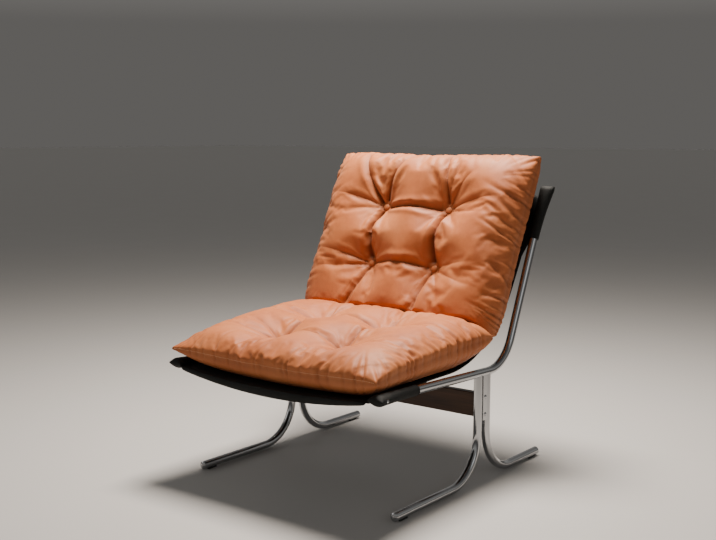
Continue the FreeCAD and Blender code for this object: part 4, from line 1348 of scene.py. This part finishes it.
def back_cushion(finishes: Finishes) -> Cushion:
    """The back cushion, its top edge free."""
    upper, lower, col = 182.6, 354.6, 108.0
    folds = [
        Fold((-col, upper), (-col, lower), 17, 9, 13, 1.0, 0.95),
        Fold((col, upper), (col, lower), 17, 9, 12, 1.0, 0.95),
        Fold((-col, upper), (col, upper), 11, 8, 4, 1.0, 0.9),
        Fold((-col, lower), (col, lower), 8, 8, -6, 1.0, 1.0),
        Fold((-col, upper), (-202, 34), 14, 8, -10, 1.0, 0.45),
        Fold((-col, upper), (-52, 22), 14, 8, -8, 1.0, 0.4),
        Fold((col, upper), (74, 24), 14, 8, 5, 1.0, 0.4),
        Fold((col, upper), (138, 44), 8, 7, -5),
        Fold((col, upper), (196, 66), 8, 7, -8),
        Fold((-col, upper), (-318, 150), 6, 8, 5),
        Fold((-col, upper), (-262, 214), 3.5, 7, 0),
        Fold((col, upper), (306, 142), 6, 8, -6),
        Fold((col, upper), (286, 196), 4, 7, 4),
        Fold((-col, lower), (-322, 322), 7, 8, 6),
        Fold((-col, lower), (-318, 384), 6, 8, -6),
        Fold((-col, lower), (-168, 512), 13, 9, -8, 1.0, 0.45),
        Fold((-col, lower), (-138, 520), 10, 7, 6, 1.0, 0.45),
        Fold((col, lower), (84, 522), 13, 9, 6, 1.0, 0.45),
        Fold((col, lower), (58, 520), 9, 7, -6, 1.0, 0.4),
        Fold((col, lower), (158, 452), 5, 7, -5),
        Fold((col, lower), (296, 330), 4, 7, -5),
        Fold((col, lower), (286, 404), 4, 7, 6),
    ]
    start = TUBES.corner + TUBES.back_way * (576 * MM) + TUBES.back_face * (72 * MM)
    return Cushion(
        CushionKind.BACK, finishes, start, -TUBES.back_way, TUBES.back_face,
        length=535 * MM, crown=72 * MM, tuft_height=34 * MM, free_round=98 * MM, crease_round=60 * MM,
        seam_sag=0.0, fill=0.75, seed=23, left_pinch=0.1, right_pinch=0.25, corner_draw=10 * MM,
        corner_lift=24 * MM, gather=1.4, folds=folds,
    )


# Frame and studio


@dataclass
class Metalwork:
    """The frame's CAD nodes and the finishes that they wear."""

    finishes: Finishes
    paired_nodes: tuple[str, ...] = ("side_rail", "front_leg", "rear_leg", "post_web")
    chrome_nodes: tuple[str, ...] = ("pocket_screws", "stretcher_bolts", "foot_end_caps")
    plastic_nodes: tuple[str, ...] = ("rail_end_plugs", "floor_glides")

    def wear(self, node: str, material: bpy.types.Material) -> None:
        """Give one CAD node its finish."""
        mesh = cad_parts[node].data
        mesh.materials.clear()
        mesh.materials.append(material)
        LOG.info("%s wears %s", node, material.name)

    def dress(self) -> None:
        """Dress every node that stays in view."""
        pairs = [f"{side}_{node}" for node in self.paired_nodes for side, _ in SIDES]
        for node in (*pairs, *self.chrome_nodes):
            self.wear(node, self.finishes.chrome)
        for node in self.plastic_nodes:
            self.wear(node, self.finishes.plastic)
        self.wear("stretcher", self.finishes.board)
        self.wear("stretcher_barrel_nuts", self.finishes.steel)


@dataclass
class Studio:
    """Pale floor, soft lights and the camera at the photograph's place."""

    eye: Vector = field(default_factory=lambda: Vector((1.7283, -2.2501, 0.9021)))
    yaw: float = 38.067
    pitch: float = 7.288
    lens: float = 53.46
    floor_half: float = 60.0
    floor_colour: Colour = (0.53, 0.512, 0.49, 1)
    horizon: Colour = (0.119, 0.114, 0.108, 1)
    glow: Colour = (0.40, 0.388, 0.368, 1)
    middle_sky: Colour = (0.20, 0.194, 0.186, 1)
    high_sky: Colour = (0.06, 0.06, 0.06, 1)

    def floor(self) -> None:
        """Lay the floor."""
        sheet = MaterialSheet("pale_floor")
        soft = sheet.noise(sheet.where(), 3.0)
        material = sheet.finish(Base_Color=self.floor_colour, Roughness=0.5 + soft * 0.12)
        bm = bmesh.new()
        bmesh.ops.create_grid(bm, x_segments=1, y_segments=1, size=self.floor_half)
        laid = piece("floor", bm, material, smooth=False)

    def sky(self) -> None:
        """Grey surroundings with a brighter band above the horizon, dark overhead."""
        world = bpy.data.worlds.new("studio")
        bpy.context.scene.world = world
        world.use_nodes = True
        sheet = NodeSheet(world.node_tree)
        direction = Field(sheet, sheet.place.outputs["Generated"])
        height = sheet.field("ShaderNodeSeparateXYZ", "Z", None, {"Vector": direction})
        stops = ((0.1, self.horizon), (0.3, self.glow), (0.55, self.middle_sky), (0.95, self.high_sky))
        light = sheet.field("ShaderNodeBackground", "Background", None, {"Color": sheet.ramp(height, *stops)})
        sheet.node("ShaderNodeOutputWorld", None, {"Surface": light})

    def lamp(self, name: str, place: tuple[float, float, float], aim: tuple[float, float, float],
             wide: float, watts: float, colour: tuple[float, float, float]) -> None:
        """Hang one soft square lamp."""
        data = bpy.data.lights.new(name, "AREA")
        data.shape = "SQUARE"
        data.size = wide
        data.energy = watts
        data.color = colour
        hung = bpy.data.objects.new(name, data)
        hung.location = place
        hung.rotation_euler = (Vector(aim) - Vector(place)).to_track_quat("-Z", "Y").to_euler()
        bpy.context.scene.collection.objects.link(hung)

    def build(self) -> None:
        """Set up the floor, the lights and the camera."""
        self.floor()
        self.sky()
        self.lamp("overhead", (-0.1, 0.36, 2.3), (0.0, 0.0, 0.4), 0.7, 138, (1.0, 0.91, 0.82))
        self.lamp("left_fill", (-2.4, -1.6, 1.5), (0.0, 0.0, 0.45), 1.4, 5, (1.0, 0.97, 0.94))
        self.lamp("right_fill", (2.3, -0.6, 1.3), (0.0, 0.0, 0.45), 1.1, 2, (0.97, 0.98, 1.0))
        data = bpy.data.cameras.new("photo_view")
        data.lens = self.lens
        data.sensor_fit = "HORIZONTAL"
        data.sensor_width = 36.0
        eye = bpy.data.objects.new("photo_view", data)
        eye.location = self.eye
        eye.rotation_euler = (math.radians(90 - self.pitch), 0.0, math.radians(self.yaw))
        bpy.context.scene.collection.objects.link(eye)
        bpy.context.scene.camera = eye


def main() -> None:
    """Build the chair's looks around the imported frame."""
    logging.basicConfig(level=logging.INFO, format="%(name)s %(message)s")
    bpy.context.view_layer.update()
    finishes = Finishes()
    Metalwork(finishes).dress()
    Sling(finishes).build()
    seat_cushion(finishes).build()
    back_cushion(finishes).build()
    Studio().build()


if __name__ == "__main__":
    main()
